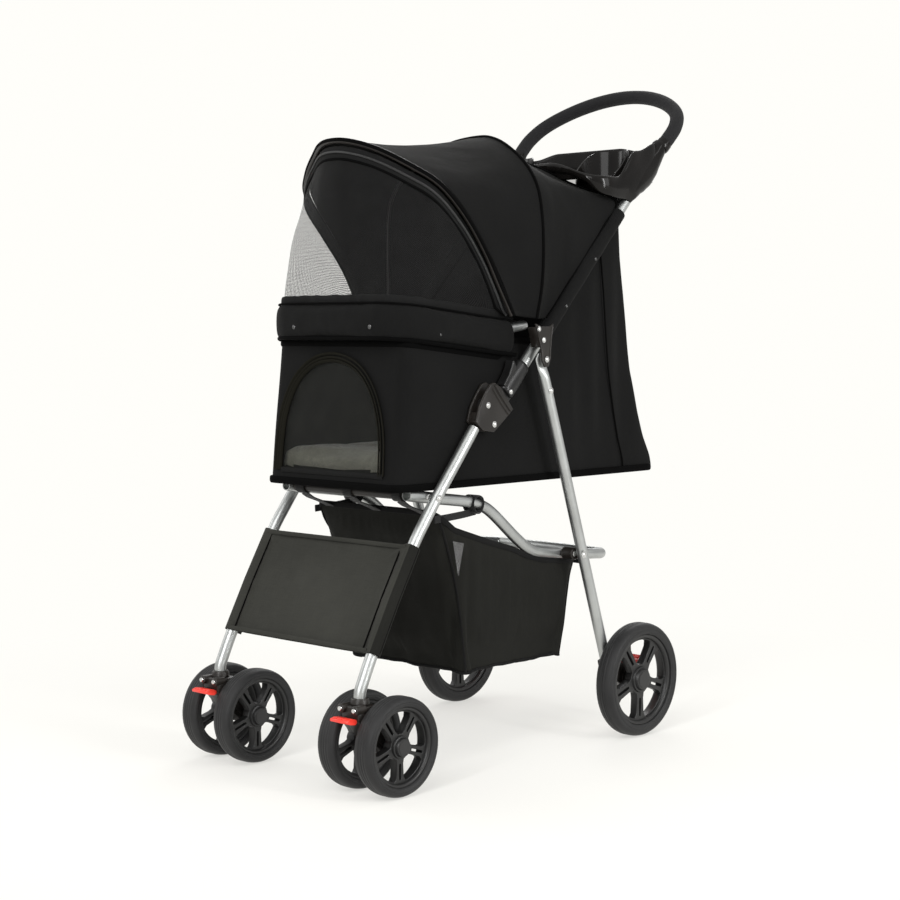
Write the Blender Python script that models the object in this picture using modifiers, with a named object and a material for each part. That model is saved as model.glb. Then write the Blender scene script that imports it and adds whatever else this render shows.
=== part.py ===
"""Four-wheel folding pet stroller, built as separate jointed pieces.

Units are metres and +Z is up.  The stroller rolls toward -Y and +X is its own
left side.  The model is laid out about the fold hinge line and moved at the end
so that the middle of its footprint stands on the world origin.
"""
import math

import bmesh
import bpy
from mathutils import Matrix, Vector

# ---------------------------------------------------------------- dimensions
GAP = 0.0004            # clearance between touching pieces
TUBE_R = 0.008          # frame tube radius
MID_Y = 0.0308          # middle of the footprint along Y

FRAME_X = 0.139         # front legs and upper tubes
REAR_X = 0.1565         # rear legs, outboard of every other tube
SEAT_X = 0.119          # seat tube, inboard of every other tube

CASTER_Y = -0.318       # swivel axis
CASTER_WHEEL_Y = -0.285
CASTER_R = 0.0652
CASTER_HALF_TRACK = 0.034
CASTER_W = 0.0315

REAR_WHEEL_X = 0.1815
REAR_WHEEL_Y = 0.2125
REAR_R = 0.0838
REAR_W = 0.0305

HINGE = (-0.0788, 0.4965)       # fold pivot (Y, Z)
TUBE_DIR = (0.694, 0.720)       # upper tube direction (Y, Z)
TUBE_FRONT = (-0.720, 0.694)    # square to the tube, toward the front
TUBE_OFFSET = -0.0197           # tube axis behind the fold pivot
SEAT_PIVOT = (-0.178, 0.3765)   # seat tube on front leg
LEG_PIVOT = (0.017, 0.559)      # rear leg on handle bracket
LINK_PIVOT = (0.107, 0.277)     # rear leg on seat tube
BAR_PIVOT = (0.012, 0.605)      # front bar on handle bracket
HOOD_PIVOT = (0.005, 0.618)     # canopy bow
LOCK_PIVOT = (-0.3405, 0.1023)  # swivel lock lever
PEDAL_PIVOT = (0.2110, 0.1075)  # brake pedal

SIDES = ((1, "l"), (-1, "r"))

SILVER = (0.48, 0.50, 0.50, 1.0)
PLASTIC = (0.028, 0.024, 0.021, 1.0)
GLOSS = (0.012, 0.012, 0.013, 1.0)
RUBBER = (0.020, 0.020, 0.021, 1.0)
FOAM = (0.015, 0.015, 0.018, 1.0)
FABRIC = (0.012, 0.012, 0.012, 1.0)
CHARCOAL = (0.038, 0.038, 0.036, 1.0)
MESH = (0.020, 0.021, 0.018, 1.0)
OLIVE = (0.070, 0.070, 0.050, 1.0)
RED = (0.78, 0.035, 0.022, 1.0)
STEEL = (0.62, 0.62, 0.62, 1.0)


# ------------------------------------------------------------------- helpers
def clear_scene():
    for item in list(bpy.data.objects):
        bpy.data.objects.remove(item, do_unlink=True)


def make_collection(name):
    group = bpy.data.collections.new(name)
    bpy.context.scene.collection.children.link(group)
    return group


clear_scene()
PARTS = make_collection("pet_stroller")
CUTTERS = make_collection("cutters")
MATERIALS = {}


def material(name, colour, rough, metal=0.0):
    made = bpy.data.materials.new(name)
    made.use_nodes = True
    shader = made.node_tree.nodes["Principled BSDF"]
    shader.inputs["Base Color"].default_value = colour
    shader.inputs["Roughness"].default_value = rough
    shader.inputs["Metallic"].default_value = metal
    made.diffuse_color = colour
    return made


LOOKS = {
    "silver": (SILVER, 0.35, 0.9),
    "plastic": (PLASTIC, 0.5, 0.0),
    "gloss": (GLOSS, 0.15, 0.0),
    "rubber": (RUBBER, 0.7, 0.0),
    "foam": (FOAM, 0.85, 0.0),
    "fabric": (FABRIC, 0.9, 0.0),
    "charcoal": (CHARCOAL, 0.9, 0.0),
    "mesh": (MESH, 0.9, 0.0),
    "olive": (OLIVE, 0.95, 0.0),
    "red": (RED, 0.4, 0.0),
    "steel": (STEEL, 0.25, 1.0),
}


def finish(item, look, group=None, origin=None):
    """Give the piece its own material, home collection and origin."""
    colour, rough, metal = LOOKS[look]
    item.data.materials.clear()
    item.data.materials.append(material("mat_" + item.name, colour, rough, metal))
    (group or PARTS).objects.link(item)
    if origin is not None:
        place = Vector(origin)
        item.data.transform(Matrix.Translation(-place))
        item.location = place
    return item


def object_from_bmesh(name, bm):
    bmesh.ops.recalc_face_normals(bm, faces=bm.faces)
    mesh = bpy.data.meshes.new(name)
    bm.to_mesh(mesh)
    bm.free()
    return bpy.data.objects.new(name, mesh)


def prism_bmesh(outline, x0, x1):
    """Closed prism: a (Y, Z) outline carried from x0 to x1 along X."""
    bm = bmesh.new()
    ring = [bm.verts.new((x0, y, z)) for y, z in outline]
    face = bm.faces.new(ring)
    made = bmesh.ops.extrude_face_region(bm, geom=[face])
    moved = [v for v in made["geom"] if isinstance(v, bmesh.types.BMVert)]
    bmesh.ops.translate(bm, verts=moved, vec=(x1 - x0, 0.0, 0.0))
    return bm


def prism(name, outline, x0, x1):
    return object_from_bmesh(name, prism_bmesh(outline, x0, x1))


def cylinder_x(name, centre, radius, x0, x1, steps=20):
    """Closed cylinder along X about the (Y, Z) centre."""
    turn = [2.0 * math.pi * k / steps for k in range(steps)]
    outline = [(centre[0] + radius * math.cos(a), centre[1] + radius * math.sin(a)) for a in turn]
    return prism(name, outline, x0, x1)


def cylinder_z(name, centre, radius, z0, z1, steps=24):
    bm = bmesh.new()
    place = Matrix.Translation((centre[0], centre[1], 0.5 * (z0 + z1)))
    bmesh.ops.create_cone(
        bm, cap_ends=True, segments=steps, radius1=radius, radius2=radius,
        depth=z1 - z0, matrix=place,
    )
    return object_from_bmesh(name, bm)


def combine(base, other, operation):
    """Boolean the other piece into the base and bake the result."""
    CUTTERS.objects.link(other)
    if base.name not in bpy.context.scene.collection.objects:
        bpy.context.scene.collection.objects.link(base)
    step = base.modifiers.new("combine", "BOOLEAN")
    step.operation = operation
    step.solver = "EXACT"
    step.object = other
    bpy.context.view_layer.update()
    graph = bpy.context.evaluated_depsgraph_get()
    baked = bpy.data.meshes.new_from_object(base.evaluated_get(graph))
    base.modifiers.clear()
    base.data = baked
    bpy.context.scene.collection.objects.unlink(base)
    other.hide_render = True
    other.display_type = "WIRE"
    return base


def tidy_mesh(item, distance=0.00002):
    bm = bmesh.new()
    bm.from_mesh(item.data)
    bmesh.ops.remove_doubles(bm, verts=bm.verts, dist=distance)
    bmesh.ops.dissolve_degenerate(bm, edges=bm.edges, dist=distance)
    bmesh.ops.recalc_face_normals(bm, faces=bm.faces)
    bm.to_mesh(item.data)
    bm.free()
    return item


def tube(name, points, radius, sides=2, closed=False):
    """Round bar along a run of points, turned into a closed mesh."""
    curve = bpy.data.curves.new(name + "_path", "CURVE")
    curve.dimensions = "3D"
    curve.bevel_depth = radius
    curve.bevel_resolution = sides
    curve.use_fill_caps = not closed
    run = curve.splines.new("POLY")
    run.points.add(len(points) - 1)
    for spot, place in zip(run.points, points):
        spot.co = (place[0], place[1], place[2], 1.0)
    run.use_cyclic_u = closed
    holder = bpy.data.objects.new(name + "_path", curve)
    bpy.context.scene.collection.objects.link(holder)
    bpy.context.view_layer.update()
    graph = bpy.context.evaluated_depsgraph_get()
    mesh = bpy.data.meshes.new_from_object(holder.evaluated_get(graph))
    bpy.data.objects.remove(holder, do_unlink=True)
    mesh.name = name
    return tidy_mesh(bpy.data.objects.new(name, mesh))


def smooth_run(points, steps):
    """Catmull-Rom points through a run of 3-D points."""
    spots = [Vector(p) for p in points]
    ends = [2.0 * spots[0] - spots[1]] + spots + [2.0 * spots[-1] - spots[-2]]
    run = []
    for k in range(1, len(ends) - 2):
        a, b, c, d = ends[k - 1:k + 3]
        for j in range(steps):
            t = j / steps
            even = 2.0 * b + (c - a) * t
            square = (2.0 * a - 5.0 * b + 4.0 * c - d) * t * t
            cube = (3.0 * b - a - 3.0 * c + d) * t * t * t
            run.append(0.5 * (even + square + cube))
    run.append(spots[-1])
    return run


def resample(run, count):
    """Evenly spaced points along a polyline."""
    lengths = [0.0]
    for a, b in zip(run, run[1:]):
        lengths.append(lengths[-1] + (b - a).length)
    spaced = []
    k = 0
    for j in range(count):
        want = lengths[-1] * j / (count - 1)
        while k < len(run) - 2 and lengths[k + 1] < want:
            k += 1
        span = max(lengths[k + 1] - lengths[k], 1e-9)
        spaced.append(run[k].lerp(run[k + 1], min(1.0, (want - lengths[k]) / span)))
    return spaced


def loft(name, rings, caps=True):
    """Closed skin over a list of closed rings, ends filled."""
    bm = bmesh.new()
    rows = [[bm.verts.new(p) for p in ring] for ring in rings]
    count = len(rings[0])
    for low, high in zip(rows, rows[1:]):
        for k in range(count):
            n = (k + 1) % count
            bm.faces.new((low[k], low[n], high[n], high[k]))
    if caps:
        bm.faces.new(rows[0])
        bm.faces.new(rows[-1])
    return object_from_bmesh(name, bm)


def shell(name, rows, thickness, offset=0.0, wrap=False, floor=False):
    """Thin sheet over rows of points, thickened with Solidify."""
    bm = bmesh.new()
    grid = [[bm.verts.new(p) for p in row] for row in rows]
    count = len(rows[0])
    last = count if wrap else count - 1
    for low, high in zip(grid, grid[1:]):
        for k in range(last):
            n = (k + 1) % count
            bm.faces.new((low[k], low[n], high[n], high[k]))
    if floor:
        bm.faces.new(grid[0])
    item = object_from_bmesh(name, bm)
    step = item.modifiers.new("thickness", "SOLIDIFY")
    step.thickness = thickness
    step.offset = offset
    step.use_even_offset = True
    return item


def at(s, n):
    """(Y, Z) of a spot s along and n in front of the upper tube, from the fold pivot."""
    y = HINGE[0] + s * TUBE_DIR[0] + n * TUBE_FRONT[0]
    z = HINGE[1] + s * TUBE_DIR[1] + n * TUBE_FRONT[1]
    return (y, z)


def mirrored_range(side, x0, x1):
    return (side * x0, side * x1) if side > 0 else (side * x1, side * x0)


# --------------------------------------------------------------- front frame
FRONT_LEG = (
    (-0.318, 0.1215), (-0.318, 0.1345), (-0.3125, 0.1480), (-0.2963, 0.1810),
    (-0.2600, 0.2480), (-0.2209, 0.3145), (-0.1960, 0.3490), (-0.1690, 0.3840),
    (-0.1350, 0.4250), (-0.1010, 0.4665),
)


def build_front_legs():
    for side, tag in SIDES:
        spots = [(side * FRAME_X, y, z) for y, z in FRONT_LEG]
        finish(tube("front_leg_" + tag, spots, TUBE_R), "silver")
        x0, x1 = mirrored_range(side, SEAT_X + TUBE_R + GAP, FRAME_X - TUBE_R - GAP)
        pin = cylinder_x("seat_pivot_" + tag, SEAT_PIVOT, 0.005, x0, x1, 12)
        finish(pin, "steel")


def leg_panel_row(place, down):
    """One strip round both legs: behind, outside, across the front."""
    reach = 0.0099
    row = []
    front = Vector((0.0, -down[1], down[0]))
    for side in (-1, 1):
        angles = (200, 160, 120, 90) if side < 0 else (90, 120, 160, 200)
        for angle in angles:
            a = math.radians(angle)
            out = Vector((side, 0.0, 0.0)) * math.sin(a - math.pi / 2.0) * reach
            fore = front * math.cos(a - math.pi / 2.0) * reach
            row.append(Vector((side * FRAME_X, place[0], place[1])) + out + fore)
    return row


def build_leg_panel():
    spots = ((-0.2963, 0.1810), (-0.2720, 0.2260), (-0.2470, 0.2710), (-0.2209, 0.3145))
    rows = []
    for k, place in enumerate(spots):
        low = spots[max(k - 1, 0)]
        high = spots[min(k + 1, len(spots) - 1)]
        step = Vector((high[0] - low[0], high[1] - low[1])).normalized()
        rows.append(leg_panel_row(place, (-step[0], -step[1])))
    finish(shell("leg_panel", rows, 0.0014), "charcoal")


def build_hinge_lower():
    cheek = [at(s, n) for s, n in (
        (0.0300, 0.0150), (0.0345, 0.0000), (0.0300, -0.0400), (0.0090, -0.0370),
        (-0.0200, -0.0320), (-0.0330, -0.0140), (-0.0345, 0.0060), (-0.0150, 0.0150),
        (0.0080, 0.0190), (0.0220, 0.0200),
    )]
    web = [at(s, n) for s, n in (
        (-0.0145, -0.0290), (-0.0145, -0.0020), (-0.0200, 0.0090), (-0.0335, 0.0055),
        (-0.0325, -0.0130), (-0.0200, -0.0310),
    )]
    for side, tag in SIDES:
        body = prism("hinge_lower_" + tag, web, *mirrored_range(side, 0.1325, 0.1445))
        for x0, x1 in ((0.1290, 0.1330), (0.1440, 0.1480)):
            plate = prism("cheek", cheek, *mirrored_range(side, x0, x1))
            combine(body, plate, "UNION")
        finish(tidy_mesh(body), "plastic")


def build_hinge_upper():
    sleeve = [at(s, n) for s, n in (
        (0.0385, -0.0320), (0.0385, -0.0080), (0.0600, -0.0075), (0.0840, -0.0085),
        (0.0840, -0.0305),
    )]
    tongue = [at(s, n) for s, n in (
        (0.0450, -0.0300), (0.0450, -0.0095), (0.0080, 0.0080), (0.0000, 0.0110),
        (-0.0080, 0.0080), (-0.0110, 0.0000), (-0.0080, -0.0080), (0.0150, -0.0270),
    )]
    for side, tag in SIDES:
        body = prism("hinge_upper_" + tag, sleeve, *mirrored_range(side, 0.1290, 0.1480))
        inner = prism("tongue", tongue, *mirrored_range(side, 0.1337, 0.1433))
        combine(body, inner, "UNION")
        finish(tidy_mesh(body), "plastic", origin=(side * FRAME_X, HINGE[0], HINGE[1]))


def build_latches():
    outline = [at(s, n) for s, n in (
        (0.0420, -0.0070), (0.0420, -0.0020), (0.0600, 0.0030), (0.0740, 0.0100),
        (0.0790, 0.0100), (0.0760, -0.0010), (0.0740, -0.0070),
    )]
    for side, tag in SIDES:
        slide = prism("fold_latch_" + tag, outline, *mirrored_range(side, 0.1315, 0.1465))
        finish(slide, "plastic", origin=(side * FRAME_X,) + at(0.06, -0.005))


# -------------------------------------------------------------- handle frame
def build_upper_tubes():
    low = at(0.0845, TUBE_OFFSET)
    high = (0.2405, 0.7990)
    for side, tag in SIDES:
        spots = [(side * FRAME_X, low[0], low[1]), (side * FRAME_X, high[0], high[1])]
        finish(tube("upper_tube_" + tag, spots, TUBE_R), "silver")
    span = FRAME_X - TUBE_R - GAP
    bar = tube("handle_crossbar", [(-span, 0.228, 0.792), (span, 0.228, 0.792)], 0.0065)
    finish(bar, "silver")


def build_brackets():
    plate = (
        (-0.014, 0.608), (0.004, 0.575), (0.008, 0.556), (0.013, 0.548),
        (0.0225, 0.549), (0.027, 0.560), (0.030, 0.590), (0.034, 0.608),
    )
    spacer = ((-0.006, 0.6055), (0.006, 0.5755), (0.0285, 0.5755), (0.0325, 0.6055))
    for side, tag in SIDES:
        body = prism("handle_bracket_" + tag, plate, *mirrored_range(side, 0.1650, 0.1685))
        inner = prism("spacer", spacer, *mirrored_range(side, 0.1476, 0.1655))
        combine(body, inner, "UNION")
        finish(tidy_mesh(body), "plastic")
        x0, x1 = mirrored_range(side, 0.1689, 0.1715)
        finish(cylinder_x("leg_rivet_" + tag, LEG_PIVOT, 0.0042, x0, x1, 12), "steel")


def rounded_box_outline(x, y0, y1, radius, steps=5):
    spots = []
    corners = ((x - radius, y1 - radius, 0), (-x + radius, y1 - radius, 90),
               (-x + radius, y0 + radius, 180), (x - radius, y0 + radius, 270))
    for cx, cy, start in corners:
        for k in range(steps + 1):
            a = math.radians(start + 90.0 * k / steps)
            spots.append((cx + radius * math.cos(a), cy + radius * math.sin(a)))
    return spots


def build_console():
    deck = rounded_box_outline(0.1480, 0.1500, 0.3180, 0.035)
    rings = [[(x, y, z) for x, y in deck] for z in (0.8430, 0.8560)]
    body = loft("console", rings)
    cheek = (
        (0.1400, 0.822), (0.1370, 0.850), (0.180, 0.860), (0.243, 0.864), (0.283, 0.873),
        (0.3035, 0.8825), (0.3205, 0.8655), (0.3070, 0.8450), (0.2730, 0.8110),
        (0.2478, 0.7925), (0.2334, 0.8063), (0.190, 0.8075), (0.156, 0.8095),
    )
    for side, _tag in SIDES:
        arm = prism("arm", cheek, *mirrored_range(side, 0.1312, 0.1518))
        combine(body, arm, "UNION")
        well = cylinder_z("well", (side * 0.082, 0.226), 0.0415, 0.8125, 0.8500, 28)
        combine(body, well, "UNION")
    for side, _tag in SIDES:
        bore = cylinder_z("bore", (side * 0.082, 0.226), 0.0385, 0.8155, 0.8700, 28)
        combine(body, bore, "DIFFERENCE")
    pocket = loft("pocket", [
        [(x, y, z) for x, y in rounded_box_outline(0.030, 0.180, 0.280, 0.012, 3)]
        for z in (0.8490, 0.8700)
    ])
    combine(body, pocket, "DIFFERENCE")
    finish(tidy_mesh(body), "gloss")


def build_grip():
    """Foam loop leaning back with the upper tubes."""
    half = (
        (0.1437, 0.8757), (0.1460, 0.8900), (0.1450, 0.9080), (0.1340, 0.9270),
        (0.1120, 0.9430), (0.0800, 0.9570), (0.0420, 0.9665), (0.0, 0.9700),
    )
    lean = [(x, 0.3122 + (z - 0.8738), z) for x, z in half]
    full = lean + [(-x, y, z) for x, y, z in reversed(lean[:-1])]
    run = resample(smooth_run(full, 4), 33)
    finish(tube("handle_grip", run, 0.0098), "foam")


# -------------------------------------------------------------------- canopy
BOW = (
    (0.1500, -0.0350, 0.6200), (0.1600, -0.0750, 0.6650), (0.1680, -0.1100, 0.7050),
    (0.1690, -0.1480, 0.7500), (0.1540, -0.1830, 0.7920), (0.1200, -0.2050, 0.8180),
    (0.0780, -0.2230, 0.8400), (0.0380, -0.2330, 0.8510), (0.0, -0.2360, 0.8540),
)
RIB = (
    (0.1500, 0.0120, 0.6160), (0.1540, 0.0130, 0.6600), (0.1560, 0.0120, 0.7100),
    (0.1540, 0.0100, 0.7600), (0.1450, 0.0100, 0.8000), (0.1200, 0.0150, 0.8320),
    (0.0800, 0.0300, 0.8580), (0.0400, 0.0470, 0.8740), (0.0, 0.0600, 0.8800),
)
REAR_EDGE = (
    (0.1400, 0.0430, 0.6220), (0.1400, 0.0760, 0.6560), (0.1400, 0.1080, 0.6900),
    (0.1400, 0.1400, 0.7230), (0.1390, 0.1690, 0.7520), (0.1330, 0.1720, 0.7820),
    (0.1050, 0.1480, 0.8100), (0.0550, 0.1400, 0.8440), (0.0, 0.1370, 0.8600),
)
HOOP_POINTS = 25


def hoop(half, inset=0.0, ahead=0.0):
    """Full bow from one half, optionally pulled inward or carried forward."""
    left = []
    for x, y, z in half:
        place = Vector((x, y - ahead, z))
        middle = Vector((0.0, place.y, 0.70))
        reach = place - middle
        left.append(place - reach.normalized() * inset)
    right = [Vector((-p.x, p.y, p.z)) for p in reversed(left[:-1])]
    return resample(smooth_run(left + right, 3), HOOP_POINTS)


def between(a, b, t, lift):
    """Blend of two bows with a little outward fullness."""
    row = []
    for k, (p, q) in enumerate(zip(a, b)):
        spot = p.lerp(q, t)
        fullness = math.sin(math.pi * k / (len(a) - 1))
        spot.z += lift * math.sin(math.pi * t) * fullness
        row.append(spot)
    return row


def build_canopy():
    bow = hoop(BOW, 0.0, -0.0062)
    rib = hoop(RIB)
    rear = hoop(REAR_EDGE)
    rows = [between(bow, rib, t, 0.004) for t in (0.0, 0.2, 0.4, 0.6, 0.8)]
    rows += [between(rib, rear, t, 0.002) for t in (0.0, 0.25, 0.5, 0.75, 1.0)]
    finish(shell("canopy", rows, 0.0016), "fabric")
    wire = tube("canopy_rib", hoop(RIB, 0.0062), 0.0028, 1)
    finish(wire, "plastic")
    arch = tube("canopy_bow", hoop(BOW), 0.0040, 2)
    finish(arch, "plastic", origin=(0.0, HOOD_PIVOT[0], HOOD_PIVOT[1]))


# ---------------------------------------------------------- padded front bar
BAR_X = 0.1275
BAR_FRONT = -0.2320


def bar_height(y):
    return 0.6120 - (y - BAR_FRONT) * 0.105


def bar_path():
    spots = [(BAR_X, -0.0340), (BAR_X, -0.0900), (BAR_X, -0.1400), (BAR_X, -0.1860)]
    for k in range(1, 6):
        a = math.radians(90.0 * k / 6)
        spots.append((BAR_X - 0.046 * (1.0 - math.cos(a)), -0.1860 - 0.046 * math.sin(a)))
    spots += [(BAR_X - 0.046, BAR_FRONT), (0.041, BAR_FRONT), (0.0, BAR_FRONT)]
    spots += [(-x, y) for x, y in reversed(spots[:-1])]
    return [Vector((x, y, bar_height(y))) for x, y in spots]


def bar_ring(place, along, grow):
    """Rounded upright section of the padded bar."""
    side = Vector((along.y, -along.x, 0.0)).normalized()
    ring = []
    for k in range(12):
        a = 2.0 * math.pi * k / 12
        wide = math.copysign(abs(math.cos(a)) ** 0.7, math.cos(a)) * 0.0122 * grow
        tall = math.copysign(abs(math.sin(a)) ** 0.6, math.sin(a)) * 0.0262 * grow
        ring.append(place + side * wide + Vector((0.0, 0.0, tall)))
    return ring


def build_front_bar():
    path = bar_path()
    rings = []
    for k, place in enumerate(path):
        low = path[max(k - 1, 0)]
        high = path[min(k + 1, len(path) - 1)]
        along = (high - low).normalized()
        if k == 0:
            rings.append(bar_ring(place - along * 0.008, along, 0.62))
        rings.append(bar_ring(place, along, 1.0))
        if k == len(path) - 1:
            rings.append(bar_ring(place + along * 0.008, along, 0.62))
    pivot = (0.0, BAR_PIVOT[0], BAR_PIVOT[1])
    finish(loft("front_bar", rings), "fabric", origin=pivot)
    for side, tag in SIDES:
        spots = [(side * 0.1250, -0.0240, 0.5948), (side * 0.1250, 0.0180, 0.6060)]
        stub = tube("front_bar_stub_" + tag, spots, 0.0050)
        finish(stub, "silver", origin=(side * 0.1250, BAR_PIVOT[0], BAR_PIVOT[1]))


def build_front_mesh():
    """See-through hood panel between the canopy bow and the padded bar."""
    top = hoop(BOW, 0.0075)
    path = resample([p + Vector((0.0, 0.0, 0.0282)) for p in bar_path()], HOOP_POINTS)
    rows = [between(top, path, t, 0.0) for t in (0.0, 0.25, 0.5, 0.75, 1.0)]
    finish(shell("front_mesh", rows, 0.0012), "mesh")


# ----------------------------------------------------- cabin and seat frame
CABIN_BASE = 0.3915
CABIN_X = 0.1285
CABIN_FRONT = -0.2380
CABIN_REAR = 0.3180


def cabin_rim(y):
    """Rim height: low under the front bar, rising along the upper tubes."""
    rise = 0.5530 + (y - 0.0030) * 0.72 / 0.694 - 0.004
    return min(max(bar_height(y) - 0.0292, rise), 0.7700)


def cabin_ring(t):
    """Outline of the cabin at a share t of its height."""
    ring = []
    flat = rounded_box_outline(CABIN_X, CABIN_FRONT, CABIN_REAR, 0.030, 4)
    extra = []
    for k, spot in enumerate(flat):
        nxt = flat[(k + 1) % len(flat)]
        extra.append(spot)
        reach = math.hypot(nxt[0] - spot[0], nxt[1] - spot[1])
        parts = max(1, int(round(reach / 0.07)))
        for j in range(1, parts):
            share = j / parts
            extra.append((spot[0] + (nxt[0] - spot[0]) * share, spot[1] + (nxt[1] - spot[1]) * share))
    for x, y in extra:
        lean = 0.0
        if y > 0.15:
            lean = -0.105 * t ** 0.8 * min(1.0, (y - 0.15) / 0.14)
        if y < -0.15:
            lean = 0.020 * t * min(1.0, (-0.15 - y) / 0.06)
        place = y + lean
        height = CABIN_BASE + t * (cabin_rim(place) - CABIN_BASE)
        ring.append(Vector((x, place, height)))
    return ring


def window_outline():
    """Arched window in the front wall, as (X, Z)."""
    spots = [(-0.092, 0.4060), (0.092, 0.4060), (0.092, 0.4700)]
    for k in range(1, 12):
        a = math.pi * k / 12
        spots.append((0.092 * math.cos(a), 0.4700 + 0.085 * math.sin(a)))
    spots.append((-0.092, 0.4700))
    return spots


def window_prism(name, grow, y0, y1):
    low = [(x * grow, y0, 0.48 + (z - 0.48) * grow) for x, z in window_outline()]
    high = [(x, y1, z) for x, _y, z in low]
    return loft(name, [low, high])


def build_cabin():
    shares = (0.0, 0.22, 0.45, 0.70, 1.0)
    body = shell("cabin", [cabin_ring(t) for t in shares], 0.0028, -1.0, True, True)
    window = window_prism("window_cut", 1.0, -0.262, -0.200)
    combine(body, window, "DIFFERENCE")
    finish(tidy_mesh(body), "fabric")
    rows = []
    for k in range(5):
        z = 0.4000 + 0.165 * k / 4
        share = (z - CABIN_BASE) / (0.5760 - CABIN_BASE)
        y = CABIN_FRONT + 0.0036 + 0.0195 * share + 0.0006
        rows.append([Vector((x, y, z)) for x in (-0.0965, -0.048, 0.0, 0.048, 0.0965)])
    finish(shell("door_mesh", rows, 0.0010), "mesh")


def build_floor():
    outline = rounded_box_outline(0.1210, -0.2280, 0.3040, 0.026, 4)
    board = loft("floor_board", [[(x, y, z) for x, y in outline] for z in (0.3948, 0.3978)])
    finish(board, "plastic")
    levels = ((0.3984, 0.955), (0.4080, 0.985), (0.4260, 0.985), (0.4360, 0.940))
    rings = [[(x * f, 0.038 + (y - 0.038) * f, z) for x, y in outline] for z, f in levels]
    finish(loft("floor_pad", rings), "olive")


SEAT_TUBE = (
    (SEAT_X, -0.2120, 0.3812), (SEAT_X, -0.1520, 0.3728), (SEAT_X, -0.0980, 0.3655),
    (SEAT_X, -0.0700, 0.3590), (SEAT_X, -0.0430, 0.3460), (SEAT_X, 0.0090, 0.3060),
    (SEAT_X, 0.0380, 0.2880), (SEAT_X, 0.0680, 0.2805), (SEAT_X, 0.1420, 0.2715),
    (SEAT_X, 0.1880, 0.2680), (0.1140, 0.2080, 0.2660), (0.1010, 0.2200, 0.2650),
    (0.0850, 0.2240, 0.2645),
)


def build_seat_tube():
    full = list(SEAT_TUBE) + [(-x, y, z) for x, y, z in reversed(SEAT_TUBE)]
    pivot = (0.0, SEAT_PIVOT[0], SEAT_PIVOT[1])
    finish(tube("seat_tube", full, TUBE_R), "silver", origin=pivot)
    span = SEAT_X - TUBE_R - GAP
    bar = tube("seat_front_bar", [(-span, -0.2000, 0.3796), (span, -0.2000, 0.3796)], 0.0065)
    finish(bar, "plastic")


def basket_rim(y):
    spots = ((-0.15, 0.3360), (-0.06, 0.3080), (0.0, 0.2740), (0.03, 0.2610),
             (0.066, 0.2595), (0.15, 0.2520))
    for (ya, za), (yb, zb) in zip(spots, spots[1:]):
        if y <= yb:
            return za + (zb - za) * max(0.0, (y - ya) / (yb - ya))
    return spots[-1][1]


def basket_ring(t):
    ring = []
    flat = rounded_box_outline(0.1180 + 0.004 * t, -0.106 - 0.035 * t, 0.115 + 0.030 * t, 0.016, 3)
    for k, spot in enumerate(flat):
        nxt = flat[(k + 1) % len(flat)]
        reach = math.hypot(nxt[0] - spot[0], nxt[1] - spot[1])
        parts = max(1, int(round(reach / 0.045)))
        for j in range(parts):
            share = j / parts
            x = spot[0] + (nxt[0] - spot[0]) * share
            y = spot[1] + (nxt[1] - spot[1]) * share
            ring.append(Vector((x, y, 0.1300 + t * (basket_rim(y) - 0.1300))))
    return ring


def build_basket():
    shares = (0.0, 0.3, 0.65, 1.0)
    rings = [basket_ring(t) for t in shares]
    finish(shell("basket", rings, 0.0020, -1.0, True, True), "charcoal")


# ----------------------------------------------------------------- rear legs
def build_rear_legs():
    slope = (0.1590 - 0.0285) / (0.1410 - 0.5240)
    top = (LEG_PIVOT[0] - 0.0085 * -slope, LEG_PIVOT[1] + 0.0085)
    foot = (LEG_PIVOT[0] + (0.1180 - LEG_PIVOT[1]) * slope, 0.1180)
    block = ((0.1584, 0.1144), (0.1764, 0.1205), (0.2050, 0.1040), (0.2270, 0.0960),
             (0.2290, 0.0760), (0.2180, 0.0690), (0.2020, 0.0710), (0.1640, 0.0960))
    for side, tag in SIDES:
        pivot = (side * REAR_X, LEG_PIVOT[0], LEG_PIVOT[1])
        spots = [(side * REAR_X, top[0], top[1]), (side * REAR_X, foot[0], foot[1])]
        finish(tube("rear_leg_" + tag, spots, TUBE_R), "silver", origin=pivot)
        body = prism("axle_block_" + tag, block, *mirrored_range(side, 0.1480, 0.1640))
        finish(body, "plastic", origin=pivot)
        x0, x1 = mirrored_range(side, SEAT_X + TUBE_R + 0.0010, REAR_X - TUBE_R - GAP)
        pin = cylinder_x("link_pin_" + tag, LINK_PIVOT, 0.0045, x0, x1, 12)
        finish(pin, "steel", origin=pivot)


def build_brake_pedals():
    outline = ((0.2060, 0.1050), (0.2180, 0.1013), (0.2300, 0.0970), (0.2550, 0.1000),
               (0.2640, 0.1040), (0.2630, 0.1090), (0.2400, 0.1070), (0.2100, 0.1110))
    for side, tag in SIDES:
        pedal = prism("brake_pedal_" + tag, outline, *mirrored_range(side, 0.1300, 0.1640))
        finish(pedal, "red", origin=(side * 0.147, PEDAL_PIVOT[0], PEDAL_PIVOT[1]))


# -------------------------------------------------------------------- wheels
def wheel_profile(radius, width):
    """Half section of a tyre as (distance from axle, along axle)."""
    half = width / 2.0
    inner = radius * 0.800
    return (
        (inner, -half * 0.86), (radius * 0.90, -half), (radius * 0.965, -half * 0.80),
        (radius, -half * 0.38), (radius, half * 0.38), (radius * 0.965, half * 0.80),
        (radius * 0.90, half), (inner, half * 0.86),
    )


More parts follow.
